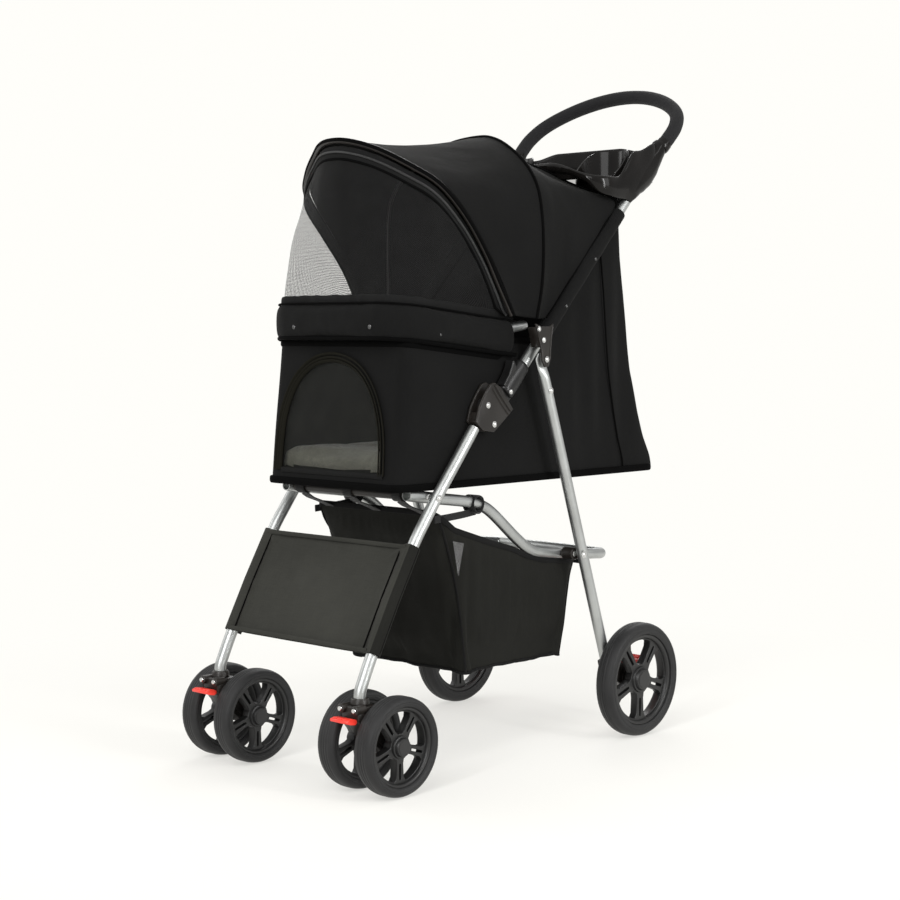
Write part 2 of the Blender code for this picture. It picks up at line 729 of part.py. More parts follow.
def build_tyre(name, centre, radius, width, steps=28):
    rings = []
    for k in range(steps):
        a = 2.0 * math.pi * k / steps
        ring = []
        for r, x in wheel_profile(radius, width):
            ring.append((centre[0] + x, centre[1] + r * math.cos(a), centre[2] + r * math.sin(a)))
        rings.append(ring)
    bm = bmesh.new()
    rows = [[bm.verts.new(p) for p in ring] for ring in rings]
    count = len(rows[0])
    for k in range(steps):
        low, high = rows[k], rows[(k + 1) % steps]
        for j in range(count):
            n = (j + 1) % count
            bm.faces.new((low[j], low[n], high[n], high[j]))
    finish(object_from_bmesh(name, bm), "rubber", origin=centre)


def spoke_window(radius, middle, spread0, spread1, inner, outer):
    """Opening between spokes, as points about the axle."""
    spots = []
    for share in (-1.0, -0.5, 0.0, 0.5, 1.0):
        a = middle + spread1 * share
        spots.append((outer * radius * math.cos(a), outer * radius * math.sin(a)))
    for share in (1.0, 0.0, -1.0):
        a = middle + spread0 * share
        spots.append((inner * radius * math.cos(a), inner * radius * math.sin(a)))
    return spots


def closed_spline(curve, spots):
    run = curve.splines.new("POLY")
    run.points.add(len(spots) - 1)
    for spot, (u, v) in zip(run.points, spots):
        spot.co = (u, v, 0.0, 1.0)
    run.use_cyclic_u = True


def build_hub(name, centre, radius, width, steps=28):
    """Rim, five paired spokes and boss, cut from one flat outline."""
    curve = bpy.data.curves.new(name + "_face", "CURVE")
    curve.dimensions = "2D"
    curve.fill_mode = "BOTH"
    curve.extrude = width * 0.23
    turns = [2.0 * math.pi * k / steps for k in range(steps)]
    edge = radius * 0.800 * math.cos(math.pi / steps) - GAP
    closed_spline(curve, [(edge * math.cos(a), edge * math.sin(a)) for a in turns])
    for k in range(5):
        a = 2.0 * math.pi * (k + 0.25) / 5
        closed_spline(curve, spoke_window(radius, a, 0.33, 0.49, 0.27, 0.68))
        closed_spline(curve, spoke_window(radius, a + math.pi / 5, 0.085, 0.035, 0.34, 0.64))
    holder = bpy.data.objects.new(name + "_face", curve)
    bpy.context.scene.collection.objects.link(holder)
    bpy.context.view_layer.update()
    graph = bpy.context.evaluated_depsgraph_get()
    mesh = bpy.data.meshes.new_from_object(holder.evaluated_get(graph))
    bpy.data.objects.remove(holder, do_unlink=True)
    stand = Matrix(((0, 0, 1, 0), (1, 0, 0, 0), (0, 1, 0, 0), (0, 0, 0, 1)))
    mesh.transform(Matrix.Translation(centre) @ stand)
    hub = tidy_mesh(bpy.data.objects.new(name, mesh))
    boss = cylinder_x("boss", (centre[1], centre[2]), radius * 0.215,
                      centre[0] - width * 0.40, centre[0] + width * 0.40, 14)
    combine(hub, boss, "UNION")
    finish(tidy_mesh(hub), "plastic", origin=centre)


def build_wheels():
    for side, tag in SIDES:
        place = Vector((side * REAR_WHEEL_X, REAR_WHEEL_Y, REAR_R))
        build_tyre("rear_tyre_" + tag, place, REAR_R, REAR_W)
        build_hub("rear_hub_" + tag, place, REAR_R, REAR_W)
        for step, where in ((1, "outer"), (-1, "inner")):
            x = side * (FRAME_X + step * CASTER_HALF_TRACK)
            place = Vector((x, CASTER_WHEEL_Y, CASTER_R))
            build_tyre("front_tyre_" + tag + "_" + where, place, CASTER_R, CASTER_W)
            build_hub("front_hub_" + tag + "_" + where, place, CASTER_R, CASTER_W)


def build_casters():
    outline = (
        (-0.3360, 0.1195), (-0.3020, 0.1195), (-0.2900, 0.1050), (-0.2740, 0.0760),
        (-0.2720, 0.0600), (-0.2790, 0.0530), (-0.2920, 0.0530), (-0.3080, 0.0680),
        (-0.3240, 0.0930), (-0.3360, 0.1010),
    )
    red = ((-0.3370, 0.1022), (-0.3385, 0.1050), (-0.3410, 0.1062), (-0.3500, 0.1072),
           (-0.3565, 0.1058), (-0.3565, 0.1022), (-0.3480, 0.0996), (-0.3410, 0.0986),
           (-0.3385, 0.0996))
    for side, tag in SIDES:
        x0, x1 = mirrored_range(side, FRAME_X - 0.0160, FRAME_X + 0.0160)
        swivel = (side * FRAME_X, CASTER_Y, 0.1200)
        finish(prism("caster_fork_" + tag, outline, x0, x1), "plastic", origin=swivel)
        x0, x1 = mirrored_range(side, FRAME_X - 0.0155, FRAME_X + 0.0155)
        lever = prism("caster_lock_" + tag, red, x0, x1)
        finish(lever, "red", origin=(side * FRAME_X, LOCK_PIVOT[0], LOCK_PIVOT[1]))


# --------------------------------------------------------------------- build
def centre_footprint():
    for item in list(PARTS.objects) + list(CUTTERS.objects):
        item.location.y -= MID_Y


def build():
    build_front_legs()
    build_leg_panel()
    build_hinge_lower()
    build_hinge_upper()
    build_latches()
    build_upper_tubes()
    build_brackets()
    build_console()
    build_grip()
    build_canopy()
    build_front_bar()
    build_front_mesh()
    build_cabin()
    build_floor()
    build_seat_tube()
    build_basket()
    build_rear_legs()
    build_brake_pedals()
    build_wheels()
    build_casters()
    centre_footprint()


build()
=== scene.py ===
import math

import bmesh
import bpy
from mathutils import Matrix, Vector, noise


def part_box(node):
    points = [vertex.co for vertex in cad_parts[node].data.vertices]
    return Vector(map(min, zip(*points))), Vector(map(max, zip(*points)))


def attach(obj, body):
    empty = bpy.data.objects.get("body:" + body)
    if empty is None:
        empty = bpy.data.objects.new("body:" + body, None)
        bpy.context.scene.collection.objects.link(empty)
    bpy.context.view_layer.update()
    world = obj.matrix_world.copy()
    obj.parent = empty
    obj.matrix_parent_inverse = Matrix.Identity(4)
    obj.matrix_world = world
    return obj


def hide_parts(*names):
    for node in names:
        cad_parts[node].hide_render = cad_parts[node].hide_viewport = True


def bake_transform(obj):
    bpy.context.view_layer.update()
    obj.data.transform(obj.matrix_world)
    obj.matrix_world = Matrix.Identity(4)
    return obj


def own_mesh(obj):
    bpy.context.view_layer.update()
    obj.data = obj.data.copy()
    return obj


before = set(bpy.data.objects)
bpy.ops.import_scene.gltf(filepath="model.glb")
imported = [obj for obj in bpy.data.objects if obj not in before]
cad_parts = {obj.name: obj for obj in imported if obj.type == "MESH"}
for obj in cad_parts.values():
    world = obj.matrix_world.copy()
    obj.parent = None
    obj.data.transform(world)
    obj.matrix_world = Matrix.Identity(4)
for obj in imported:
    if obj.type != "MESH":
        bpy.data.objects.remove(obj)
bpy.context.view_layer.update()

SIDES = ((1, "l"), (-1, "r"))

# ---------------------------------------------------------------- dimensions
TUBE_R = 0.008
FRAME_X = 0.139                 # front legs and upper tubes
REAR_X = 0.1565                 # rear legs
SEAT_X = 0.119                  # seat tube
WHEEL_LOW, WHEEL_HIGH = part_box("rear_tyre_l")
AXLE_Y = 0.2125                 # rear axle in the layout's own Y
MID_Y = AXLE_Y - (WHEEL_LOW.y + WHEEL_HIGH.y) / 2.0

HINGE = (-0.0788, 0.4965)       # fold pivot (Y, Z)
TUBE_DIR = (0.694, 0.720)
TUBE_FRONT = (-0.720, 0.694)
TUBE_OFFSET = -0.0197
LEG_PIVOT = (0.017, 0.559)
LINK_PIVOT = (0.107, 0.277)
SEAT_PIVOT = (-0.178, 0.3765)
REAR_SLOPE = (0.1590 - 0.0285) / (0.1410 - 0.5240)     # rear legs, Y per Z
PROUD = TUBE_R - 0.0006         # from a tube's middle to under a rivet head on it

CABIN_BASE = 0.3915
CABIN_X = 0.1285
CABIN_FRONT = -0.2380
CABIN_REAR = 0.3180
BAR_X = 0.1275
BAR_FRONT = -0.2320

WHITE_ROOM = (1.0, 0.992, 0.955)
SILVER = (0.45, 0.462, 0.455)
STEEL = (0.66, 0.66, 0.65)
BROWN_BLACK = (0.026, 0.022, 0.019)
NEAR_BLACK = (0.0050, 0.0050, 0.0050)
CHARCOAL = (0.031, 0.031, 0.0270)
NET_BLACK = (0.0085, 0.0090, 0.0068)
OLIVE = (0.158, 0.158, 0.120)
RED = (0.80, 0.035, 0.022)


# ------------------------------------------------------------- curve helpers
def at(s, n):
    """(Y, Z) of a spot s along and n in front of the upper tube, from the fold pivot."""
    y = HINGE[0] + s * TUBE_DIR[0] + n * TUBE_FRONT[0]
    z = HINGE[1] + s * TUBE_DIR[1] + n * TUBE_FRONT[1]
    return (y, z)


def spline(points, steps=8):
    """Catmull-Rom points through a run of 3-D points."""
    spots = [Vector(p) for p in points]
    ends = [2.0 * spots[0] - spots[1]] + spots + [2.0 * spots[-1] - spots[-2]]
    run = []
    for k in range(1, len(ends) - 2):
        a, b, c, d = ends[k - 1:k + 3]
        for j in range(steps):
            t = j / steps
            even = 2.0 * b + (c - a) * t
            square = (2.0 * a - 5.0 * b + 4.0 * c - d) * t * t
            cube = (3.0 * b - a - 3.0 * c + d) * t * t * t
            run.append(0.5 * (even + square + cube))
    run.append(spots[-1])
    return run


def evenly(run, count):
    """Evenly spaced points along a polyline."""
    lengths = [0.0]
    for a, b in zip(run, run[1:]):
        lengths.append(lengths[-1] + (b - a).length)
    spaced = []
    k = 0
    for j in range(count):
        want = lengths[-1] * j / (count - 1)
        while k < len(run) - 2 and lengths[k + 1] < want:
            k += 1
        span = max(lengths[k + 1] - lengths[k], 1e-9)
        spaced.append(run[k].lerp(run[k + 1], min(1.0, (want - lengths[k]) / span)))
    return spaced


def read_off(table, place):
    """Value at a place, read off a table of (place, value) rows."""
    for (a, low), (b, high) in zip(table, table[1:]):
        if place <= b:
            return low + (high - low) * max(0.0, (place - a) / (b - a))
    return table[-1][1]


def circle(radius, sides=24):
    turn = [2.0 * math.pi * k / sides for k in range(sides)]
    return [(radius * math.cos(a), radius * math.sin(a)) for a in turn]


def oval(wide, tall, power=1.0, sides=24):
    """Rounded cross-section; a power under 1 squares it up."""
    ring = []
    for u, v in circle(1.0, sides):
        ring.append((
            math.copysign(abs(u) ** power, u) * wide,
            math.copysign(abs(v) ** power, v) * tall,
        ))
    return ring


def rounded_box(x, y0, y1, radius, steps=8):
    """Outline of a box with round corners, from its +X, +Y corner round to its +X, -Y one."""
    spots = []
    corners = ((x - radius, y1 - radius, 0), (-x + radius, y1 - radius, 90),
               (-x + radius, y0 + radius, 180), (x - radius, y0 + radius, 270))
    for cx, cy, start in corners:
        for k in range(steps + 1):
            a = math.radians(start + 90.0 * k / steps)
            spots.append(Vector((cx + radius * math.cos(a), cy + radius * math.sin(a), 0.0)))
    return spots


def mirrored(side, x0, x1):
    return (side * x0, side * x1) if side > 0 else (side * x1, side * x0)


def wander(place, size, seed):
    """Smooth noise about -1 to 1 at a spot."""
    return noise.noise(Vector(place) / size + Vector((seed * 7.31, seed * 3.17, seed * 5.93)))


# -------------------------------------------------------------- mesh helpers
def from_bmesh(name, bm, flip=False, recalc=True):
    if recalc:
        bmesh.ops.recalc_face_normals(bm, faces=bm.faces)
    if flip:
        bmesh.ops.reverse_faces(bm, faces=bm.faces)
    mesh = bpy.data.meshes.new(name)
    bm.to_mesh(mesh)
    bm.free()
    item = bpy.data.objects.new(name, mesh)
    bpy.context.scene.collection.objects.link(item)
    return item


def running_length(points):
    total = [0.0]
    for a, b in zip(points, points[1:]):
        total.append(total[-1] + (b - a).length)
    return total


def grid(name, rows, wrap=False, flip=False):
    """Sheet over rows of points, with a UV map in metres."""
    bm = bmesh.new()
    layer = bm.loops.layers.uv.new("cut")
    verts = [[bm.verts.new(p) for p in row] for row in rows]
    count = len(rows[0])
    last = count if wrap else count - 1
    across = [running_length(list(row) + [row[0]]) for row in rows]
    down = [running_length([row[k] for row in rows]) for k in range(count)]
    for j in range(len(rows) - 1):
        for k in range(last):
            n = (k + 1) % count
            face = bm.faces.new((verts[j][k], verts[j][n], verts[j + 1][n], verts[j + 1][k]))
            spots = ((j, k, k), (j, k + 1, n), (j + 1, k + 1, n), (j + 1, k, k))
            for loop, (r, u, v) in zip(face.loops, spots):
                loop[layer].uv = (across[r][u] - across[r][count // 2], down[v][r])
    return from_bmesh(name, bm, flip, recalc=False)


def sweep(name, points, section, side=None, sizes=None, closed=False, caps=True):
    """Skin a (side, up) section along a run of points."""
    bm = bmesh.new()
    layer = bm.loops.layers.uv.new("cut")
    total = len(points)
    across = Vector(side) if side else None
    rings = []
    for k, place in enumerate(points):
        low = points[(k - 1) % total] if closed else points[max(k - 1, 0)]
        high = points[(k + 1) % total] if closed else points[min(k + 1, total - 1)]
        along = (high - low).normalized()
        if side:
            across = Vector(side)
        elif across is None:
            across = along.orthogonal()
        across = (across - along * across.dot(along)).normalized()
        up = along.cross(across)
        a, b = sizes[k] if sizes else (1.0, 1.0)
        rings.append([bm.verts.new(place + across * u * a + up * v * b) for u, v in section])
    count = len(section)
    length = running_length(list(points) + [points[0]])
    girth = running_length([Vector((u, v, 0.0)) for u, v in list(section) + [section[0]]])
    for j in range(total if closed else total - 1):
        low, high = rings[j], rings[(j + 1) % total]
        for k in range(count):
            n = (k + 1) % count
            face = bm.faces.new((low[k], low[n], high[n], high[k]))
            spots = ((j, k), (j, k + 1), (j + 1, k + 1), (j + 1, k))
            for loop, (r, c) in zip(face.loops, spots):
                loop[layer].uv = (length[r], girth[c])
    if caps and not closed:
        bm.faces.new(rings[0])
        bm.faces.new(rings[-1])
    return from_bmesh(name, bm)


def turned(name, profile, centre, steps=64, closed=True, axis="X"):
    """Turn a (radius, along) profile about an axle through the centre."""
    rings = []
    for k in range(steps):
        a = 2.0 * math.pi * k / steps
        c, s = math.cos(a), math.sin(a)
        if axis == "X":
            rings.append([Vector(centre) + Vector((x, r * c, r * s)) for r, x in profile])
        elif axis == "Z":
            rings.append([Vector(centre) + Vector((r * c, r * s, x)) for r, x in profile])
        else:
            rings.append([Vector(centre) + Vector((r * c, x, r * s)) for r, x in profile])
    bm = bmesh.new()
    rows = [[bm.verts.new(p) for p in ring] for ring in rings]
    count = len(profile)
    last = count if closed else count - 1
    for j in range(steps):
        low, high = rows[j], rows[(j + 1) % steps]
        for k in range(last):
            n = (k + 1) % count
            bm.faces.new((low[k], low[n], high[n], high[k]))
    bmesh.ops.remove_doubles(bm, verts=bm.verts, dist=1e-6)
    return from_bmesh(name, bm)


def plate(name, outline, x0, x1, width=0.0010, segments=3):
    """Flat moulding: a (Y, Z) outline carried along X, with rounded edges."""
    bm = bmesh.new()
    ring = [bm.verts.new((x0, y, z)) for y, z in outline]
    face = bm.faces.new(ring)
    made = bmesh.ops.extrude_face_region(bm, geom=[face])
    moved = [v for v in made["geom"] if isinstance(v, bmesh.types.BMVert)]
    bmesh.ops.translate(bm, verts=moved, vec=(x1 - x0, 0.0, 0.0))
    item = from_bmesh(name, bm)
    return rounded(item, width, segments)


def closed_up(item):
    """Fill the open ends of a mesh."""
    bm = bmesh.new()
    bm.from_mesh(item.data)
    bmesh.ops.holes_fill(bm, edges=[e for e in bm.edges if e.is_boundary], sides=0)
    bmesh.ops.recalc_face_normals(bm, faces=bm.faces)
    bm.to_mesh(item.data)
    bm.free()
    return item


def rounded(item, width, segments=3, angle=32):
    step = item.modifiers.new("rounded", "BEVEL")
    step.width = width
    step.segments = segments
    step.limit_method = "ANGLE"
    step.angle_limit = math.radians(angle)
    step.harden_normals = True
    return item


def thick(item, thickness, offset=0.0):
    step = item.modifiers.new("thick", "SOLIDIFY")
    step.thickness = thickness
    step.offset = offset
    return item


def subdivided(item, levels=1):
    step = item.modifiers.new("smooth", "SUBSURF")
    step.levels = levels
    step.render_levels = levels
    return item


def baked(item):
    """Bake the modifiers into the mesh."""
    bpy.context.view_layer.update()
    graph = bpy.context.evaluated_depsgraph_get()
    mesh = bpy.data.meshes.new_from_object(item.evaluated_get(graph))
    item.modifiers.clear()
    item.data = mesh
    return item


def combined(base, other, operation="UNION"):
    """Boolean the other piece into the base and drop it."""
    step = base.modifiers.new("combine", "BOOLEAN")
    step.operation = operation
    step.solver = "EXACT"
    step.object = other
    baked(base)
    bpy.data.objects.remove(other, do_unlink=True)
    return base


def joined(name, items):
    """One object out of several, with their modifiers baked."""
    bm = bmesh.new()
    for item in items:
        bm.from_mesh(baked(item).data)
    for item in items:
        bpy.data.objects.remove(item, do_unlink=True)
    return from_bmesh(name, bm, recalc=False)


def ruffled(item, amount, size, seed, stretch=(1.0, 1.0, 1.0), fade=None):
    """Push points along their normals by smooth noise, for slack cloth."""
    mesh = item.data
    normals = [v.normal.copy() for v in mesh.vertices]
    for spot, normal in zip(mesh.vertices, normals):
        place = Vector([c * s for c, s in zip(spot.co, stretch)])
        push = wander(place, size, seed) + 0.45 * wander(place, size * 0.42, seed + 3)
        share = 1.0 if fade is None else fade(spot.co)
        spot.co += normal * push * amount * share
    mesh.update()
    return item


def dressed(item, look, body, stands_for=(), sharp=38.0):
    """Finish a piece: shading, material, place on the frame, body, and hiding the frame nodes it stands for.
    """
    mesh = item.data
    mesh.transform(Matrix.Translation((0.0, -MID_Y, 0.0)))
    mesh.shade_smooth()
    if not any(step.type == "SUBSURF" for step in item.modifiers):
        mesh.set_sharp_from_angle(angle=math.radians(sharp))
    mesh.materials.clear()
    mesh.materials.append(LOOKS[look])
    if body:
        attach(item, body)
    if stands_for:
        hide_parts(*stands_for)
    return item


def swapped(item, look, body, node, sharp=38.0):
    """Dress a piece that stands for one frame node, and hide that node."""
    return dressed(item, look, body, [node], sharp)


def folds_down(item):
    """Give a soft piece its own copy of its mesh."""
    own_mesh(item)


# ----------------------------------------------------------------- materials
LOOKS = {}
WAVE = 0.3142        # a wave texture's period at scale 1


def add(tree, kind, inputs=None, **settings):
    made = tree.nodes.new("ShaderNode" + kind)
    for key, value in settings.items():
        setattr(made, key, value)
    for key, value in (inputs or {}).items():
        if isinstance(value, bpy.types.NodeSocket):
            tree.links.new(value, made.inputs[key])
        else:
            made.inputs[key].default_value = value
    return made


def blank(name, **sockets):
    """New material with constant Principled sockets."""
    made = bpy.data.materials.new(name)
    made.use_nodes = True
    tree = made.node_tree
    shader = tree.nodes["Principled BSDF"]
    for key, value in sockets.items():
        shader.inputs[key.replace("_", " ")].default_value = value
    LOOKS[name] = made
    return tree, shader


def times(colour, share):
    return tuple(min(1.0, c * share) for c in colour[:3]) + (1.0,)


def ramp(tree, value, low, high, start=0.3, stop=0.7):
    made = add(tree, "ValToRGB", {"Fac": value})
    made.color_ramp.elements[0].position = start
    made.color_ramp.elements[1].position = stop
    made.color_ramp.elements[0].color = low
    made.color_ramp.elements[1].color = high
    return made.outputs["Color"]


def span(tree, value, low, high):
    return add(tree, "MapRange", {"Value": value, "To Min": low, "To Max": high}).outputs["Result"]


def math_node(tree, operation, a, b=0.0, c=0.0):
    return add(tree, "Math", {0: a, 1: b, 2: c}, operation=operation).outputs[0]


def mixed_of(tree, a, share, b):
    """A share of one value and the rest of another."""
    rest = math_node(tree, "MULTIPLY", b, 1.0 - share)
    return math_node(tree, "MULTIPLY_ADD", a, share, rest)


def wired(tree, shader, colours, rough, normal):
    """Feed a shader its colours, roughness and normal."""
    tree.links.new(colours, shader.inputs["Base Color"])
    tree.links.new(rough, shader.inputs["Roughness"])
    tree.links.new(normal, shader.inputs["Normal"])


def noise_of(tree, where, scale, detail=3.0, rough=0.55):
    inputs = {"Vector": where, "Scale": scale, "Detail": detail, "Roughness": rough}
    return add(tree, "TexNoise", inputs).outputs["Fac"]


def stretched(tree, where, scale):
    return add(tree, "Mapping", {"Vector": where, "Scale": scale}).outputs["Vector"]


def wave(tree, where, pitch, direction, distortion=0.4):
    inputs = {"Vector": where, "Scale": WAVE / pitch, "Distortion": distortion, "Detail Scale": 2.0}
    return add(tree, "TexWave", inputs, bands_direction=direction).outputs["Fac"]


def bump(tree, height, strength, distance, normal=None):
    inputs = {"Height": height, "Strength": strength, "Distance": distance}
    if normal:
        inputs["Normal"] = normal
    return add(tree, "Bump", inputs).outputs["Normal"]


def fabric(name, colour, by_uv=True, pitch=0.0009, sheen=0.022, vary=0.22, puckers=0.3, specular=0.09):
    """Plain woven polyester: threads both ways, slubs and slow changes of tone."""
    tree, shader = blank(
        name, Sheen_Weight=sheen, Sheen_Roughness=0.45, Specular_IOR_Level=specular,
        Sheen_Tint=(0.9, 0.9, 0.85, 1.0),
    )
    spot = add(tree, "TexCoord")
    where = spot.outputs["UV" if by_uv else "Object"]
    warp = wave(tree, where, pitch, "X")
    weft = wave(tree, where, pitch, "Y" if by_uv else "Z")
    weave = mixed_of(tree, warp, 0.5, weft)
    slubs = noise_of(tree, stretched(tree, where, (40.0, 700.0, 40.0)), 1.0, 2.0)
    cross = noise_of(tree, stretched(tree, where, (700.0, 40.0, 700.0)), 1.0, 2.0)
    threads = mixed_of(tree, slubs, 0.5, cross)
    slow = noise_of(tree, spot.outputs["Object"], 7.0, 4.0)
    mixed = mixed_of(tree, slow, 0.55, threads)
    tone = mixed_of(tree, weave, 0.10, mixed)
    colours = ramp(tree, tone, times(colour, 1.0 - vary), times(colour, 1.0 + 1.3 * vary), 0.36, 0.66)
    tree.links.new(colours, shader.inputs["Base Color"])
    tree.links.new(span(tree, threads, 0.72, 0.98), shader.inputs["Roughness"])
    fine = bump(tree, weave, 0.35, 0.0003)
    slack = noise_of(tree, spot.outputs["Object"], 22.0, 3.0)
    tree.links.new(bump(tree, slack, puckers, 0.004, fine), shader.inputs["Normal"])


def net(name, colour, pitch, edge):
    """Open knitted mesh: holes cut by two crossed waves; a lower edge opens it more."""
    tree, shader = blank(name, Sheen_Weight=0.1, Specular_IOR_Level=0.3, Roughness=0.8)
    spot = add(tree, "TexCoord")
    slant = add(tree, "Mapping", {"Vector": spot.outputs["UV"], "Rotation": (0.0, 0.0, 0.62)})
    where = slant.outputs["Vector"]
    one = wave(tree, where, pitch, "X", 0.6)
    two = wave(tree, where, pitch, "Y", 0.6)
    holes = math_node(tree, "MULTIPLY", one, two)
    solid = add(tree, "MapRange", {"Value": holes, "From Min": edge + 0.03, "From Max": edge - 0.03})
    tree.links.new(solid.outputs["Result"], shader.inputs["Alpha"])
    slow = noise_of(tree, spot.outputs["Object"], 30.0, 3.0)
    colours = ramp(tree, slow, times(colour, 0.75), times(colour, 1.35))
    tree.links.new(colours, shader.inputs["Base Color"])
    tree.links.new(bump(tree, holes, 0.5, 0.0005), shader.inputs["Normal"])


def tube_metal(name, colour, rough=0.38):
    """Satin anodised tube: drawn lines, faint marks and dulled patches."""
    tree, shader = blank(name, Metallic=1.0, Specular_IOR_Level=0.5)
    spot = add(tree, "TexCoord")
    drawn = noise_of(tree, stretched(tree, spot.outputs["UV"], (6.0, 900.0, 1.0)), 1.0, 3.0)
    dull = noise_of(tree, spot.outputs["Object"], 26.0, 5.0)
    both = mixed_of(tree, drawn, 0.4, dull)
    colours = ramp(tree, both, times(colour, 0.86), times(colour, 1.10), 0.35, 0.65)
    tree.links.new(colours, shader.inputs["Base Color"])
    tree.links.new(span(tree, both, rough - 0.07, rough + 0.14), shader.inputs["Roughness"])
    marks = noise_of(tree, spot.outputs["Object"], 420.0, 2.0)
    lines = bump(tree, drawn, 0.12, 0.0003)
    tree.links.new(bump(tree, marks, 0.05, 0.0003, lines), shader.inputs["Normal"])


def moulded(name, colour, rough, grain=0.0008, strength=0.25, specular=0.5, coat=0.0, wear=0.35):
    """Moulded plastic: fine grain, slow gloss changes and edges rubbed lighter."""
    tree, shader = blank(
        name, Specular_IOR_Level=specular, Coat_Weight=coat, Coat_Roughness=0.05, Metallic=0.0,
    )
    spot = add(tree, "TexCoord").outputs["Object"]
    grains = noise_of(tree, spot, 0.5 / grain, 2.0)
    slow = noise_of(tree, spot, 35.0, 4.0)
    edges = add(tree, "NewGeometry").outputs["Pointiness"]
    rub = add(tree, "MapRange", {"Value": edges, "From Min": 0.51, "From Max": 0.60, "To Max": wear})
    tone = math_node(tree, "ADD", math_node(tree, "MULTIPLY", slow, 0.8), rub.outputs["Result"])
    colours = ramp(tree, tone, times(colour, 0.80), times(colour, 1.9), 0.25, 0.95)
    wired(tree, shader, colours, span(tree, slow, rough * 0.85, rough * 1.25),
          bump(tree, grains, strength, grain * 0.4))


def cellular(name, colour, size, rough, sheen=0.2, strength=0.5):
    """Foam or rubber: small cells and a dusty, uneven tone."""
    tree, shader = blank(
        name, Sheen_Weight=sheen, Sheen_Roughness=0.5, Specular_IOR_Level=0.3,
    )
    spot = add(tree, "TexCoord").outputs["Object"]
    cells = add(tree, "TexVoronoi", {"Vector": spot, "Scale": 1.0 / size}).outputs["Distance"]
    dust = noise_of(tree, spot, 28.0, 5.0, 0.6)
    colours = ramp(tree, dust, times(colour, 0.78), times(colour, 1.45), 0.32, 0.72)
    wired(tree, shader, colours, span(tree, dust, rough - 0.08, min(1.0, rough + 0.10)),
          bump(tree, cells, strength, size * 0.5))


def fleece(name, colour):
    """Brushed pile with soft clumps."""
    tree, shader = blank(name, Sheen_Weight=0.35, Sheen_Roughness=0.6, Specular_IOR_Level=0.15)
    spot = add(tree, "TexCoord").outputs["Object"]
    pile = noise_of(tree, spot, 900.0, 3.0, 0.7)
    clumps = noise_of(tree, spot, 90.0, 4.0, 0.6)
    mixed = mixed_of(tree, pile, 0.4, clumps)
    colours = ramp(tree, mixed, times(colour, 0.70), times(colour, 1.30), 0.35, 0.65)
    wired(tree, shader, colours, span(tree, pile, 0.85, 1.0), bump(tree, mixed, 0.7, 0.0015))


def webbing(name, colour):
    """Flat woven strap: ribs across its length."""
    tree, shader = blank(name, Sheen_Weight=0.15, Sheen_Roughness=0.4, Specular_IOR_Level=0.3)
    spot = add(tree, "TexCoord")
    ribs = wave(tree, spot.outputs["UV"], 0.0022, "X", 0.5)
    threads = wave(tree, spot.outputs["UV"], 0.0009, "Y", 0.5)
    both = mixed_of(tree, ribs, 0.6, threads)
    slow = noise_of(tree, spot.outputs["Object"], 60.0, 3.0)
    tone = mixed_of(tree, both, 0.4, slow)
    colours = ramp(tree, tone, times(colour, 0.7), times(colour, 1.5), 0.3, 0.7)
    wired(tree, shader, colours, span(tree, both, 0.70, 0.92), bump(tree, both, 0.6, 0.0005))


def zip_teeth(name, colour):
    """Coil zip: close ribs across the tape."""
    tree, shader = blank(name, Specular_IOR_Level=0.45)
    spot = add(tree, "TexCoord")
    teeth = wave(tree, spot.outputs["UV"], 0.0016, "X", 0.1)
    slow = noise_of(tree, spot.outputs["Object"], 80.0, 2.0)
    tone = mixed_of(tree, teeth, 0.5, slow)
    colours = ramp(tree, tone, times(colour, 0.6), times(colour, 1.8))
    wired(tree, shader, colours, span(tree, teeth, 0.45, 0.65), bump(tree, teeth, 0.8, 0.0006))


def make_materials():
    fabric("canopy_cloth", NEAR_BLACK)
    fabric("cabin_cloth", NEAR_BLACK)
    fabric("pad_cloth", NEAR_BLACK, by_uv=False)
    fabric("band_cloth", times(NEAR_BLACK, 1.5), vary=0.3)
    fabric("panel_cloth", CHARCOAL, pitch=0.0011, sheen=0.04)
    fabric("basket_cloth", times(CHARCOAL, 0.36), pitch=0.0011)
    fabric("trim_cloth", times(NEAR_BLACK, 0.30), by_uv=False, sheen=0.006, specular=0.04)
    fabric("door_tape", (0.0095, 0.0090, 0.0065), sheen=0.01, specular=0.05)
    net("hood_net", (0.010, 0.010, 0.010), 0.0014, 0.055)
    net("door_net", NET_BLACK, 0.0014, 0.085)
    net("basket_net", (0.22, 0.22, 0.22), 0.0014, 0.060)
    fleece("fleece", OLIVE)
    webbing("webbing", times(NEAR_BLACK, 1.4))
    zip_teeth("zip", times(NEAR_BLACK, 2.2))
    tube_metal("tube", SILVER)
    tube_metal("rivet", STEEL, 0.22)
    tube_metal("stud", (0.10, 0.10, 0.10), 0.25)
    moulded("plastic", times(BROWN_BLACK, 0.42), 0.36, specular=0.32)
    moulded("black_plastic", (0.0075, 0.0075, 0.0075), 0.30, specular=0.36)
    moulded("fork_plastic", times(BROWN_BLACK, 0.5), 0.38, specular=0.35)
    moulded("hub_plastic", (0.010, 0.010, 0.010), 0.38, specular=0.40)
    moulded("gloss", (0.0060, 0.0054, 0.0050), 0.13, 0.0016, 0.02, specular=0.17, coat=0.03, wear=0.05)
    moulded("red", RED, 0.34, 0.0012, 0.10, wear=0.15)
    moulded("board", (0.03, 0.03, 0.03), 0.55)
    cellular("rubber", (0.0125, 0.0125, 0.0128), 0.0011, 0.58, 0.04, 0.20)
    cellular("foam", (0.0050, 0.0049, 0.0056), 0.0010, 0.82, 0.03, 0.45)


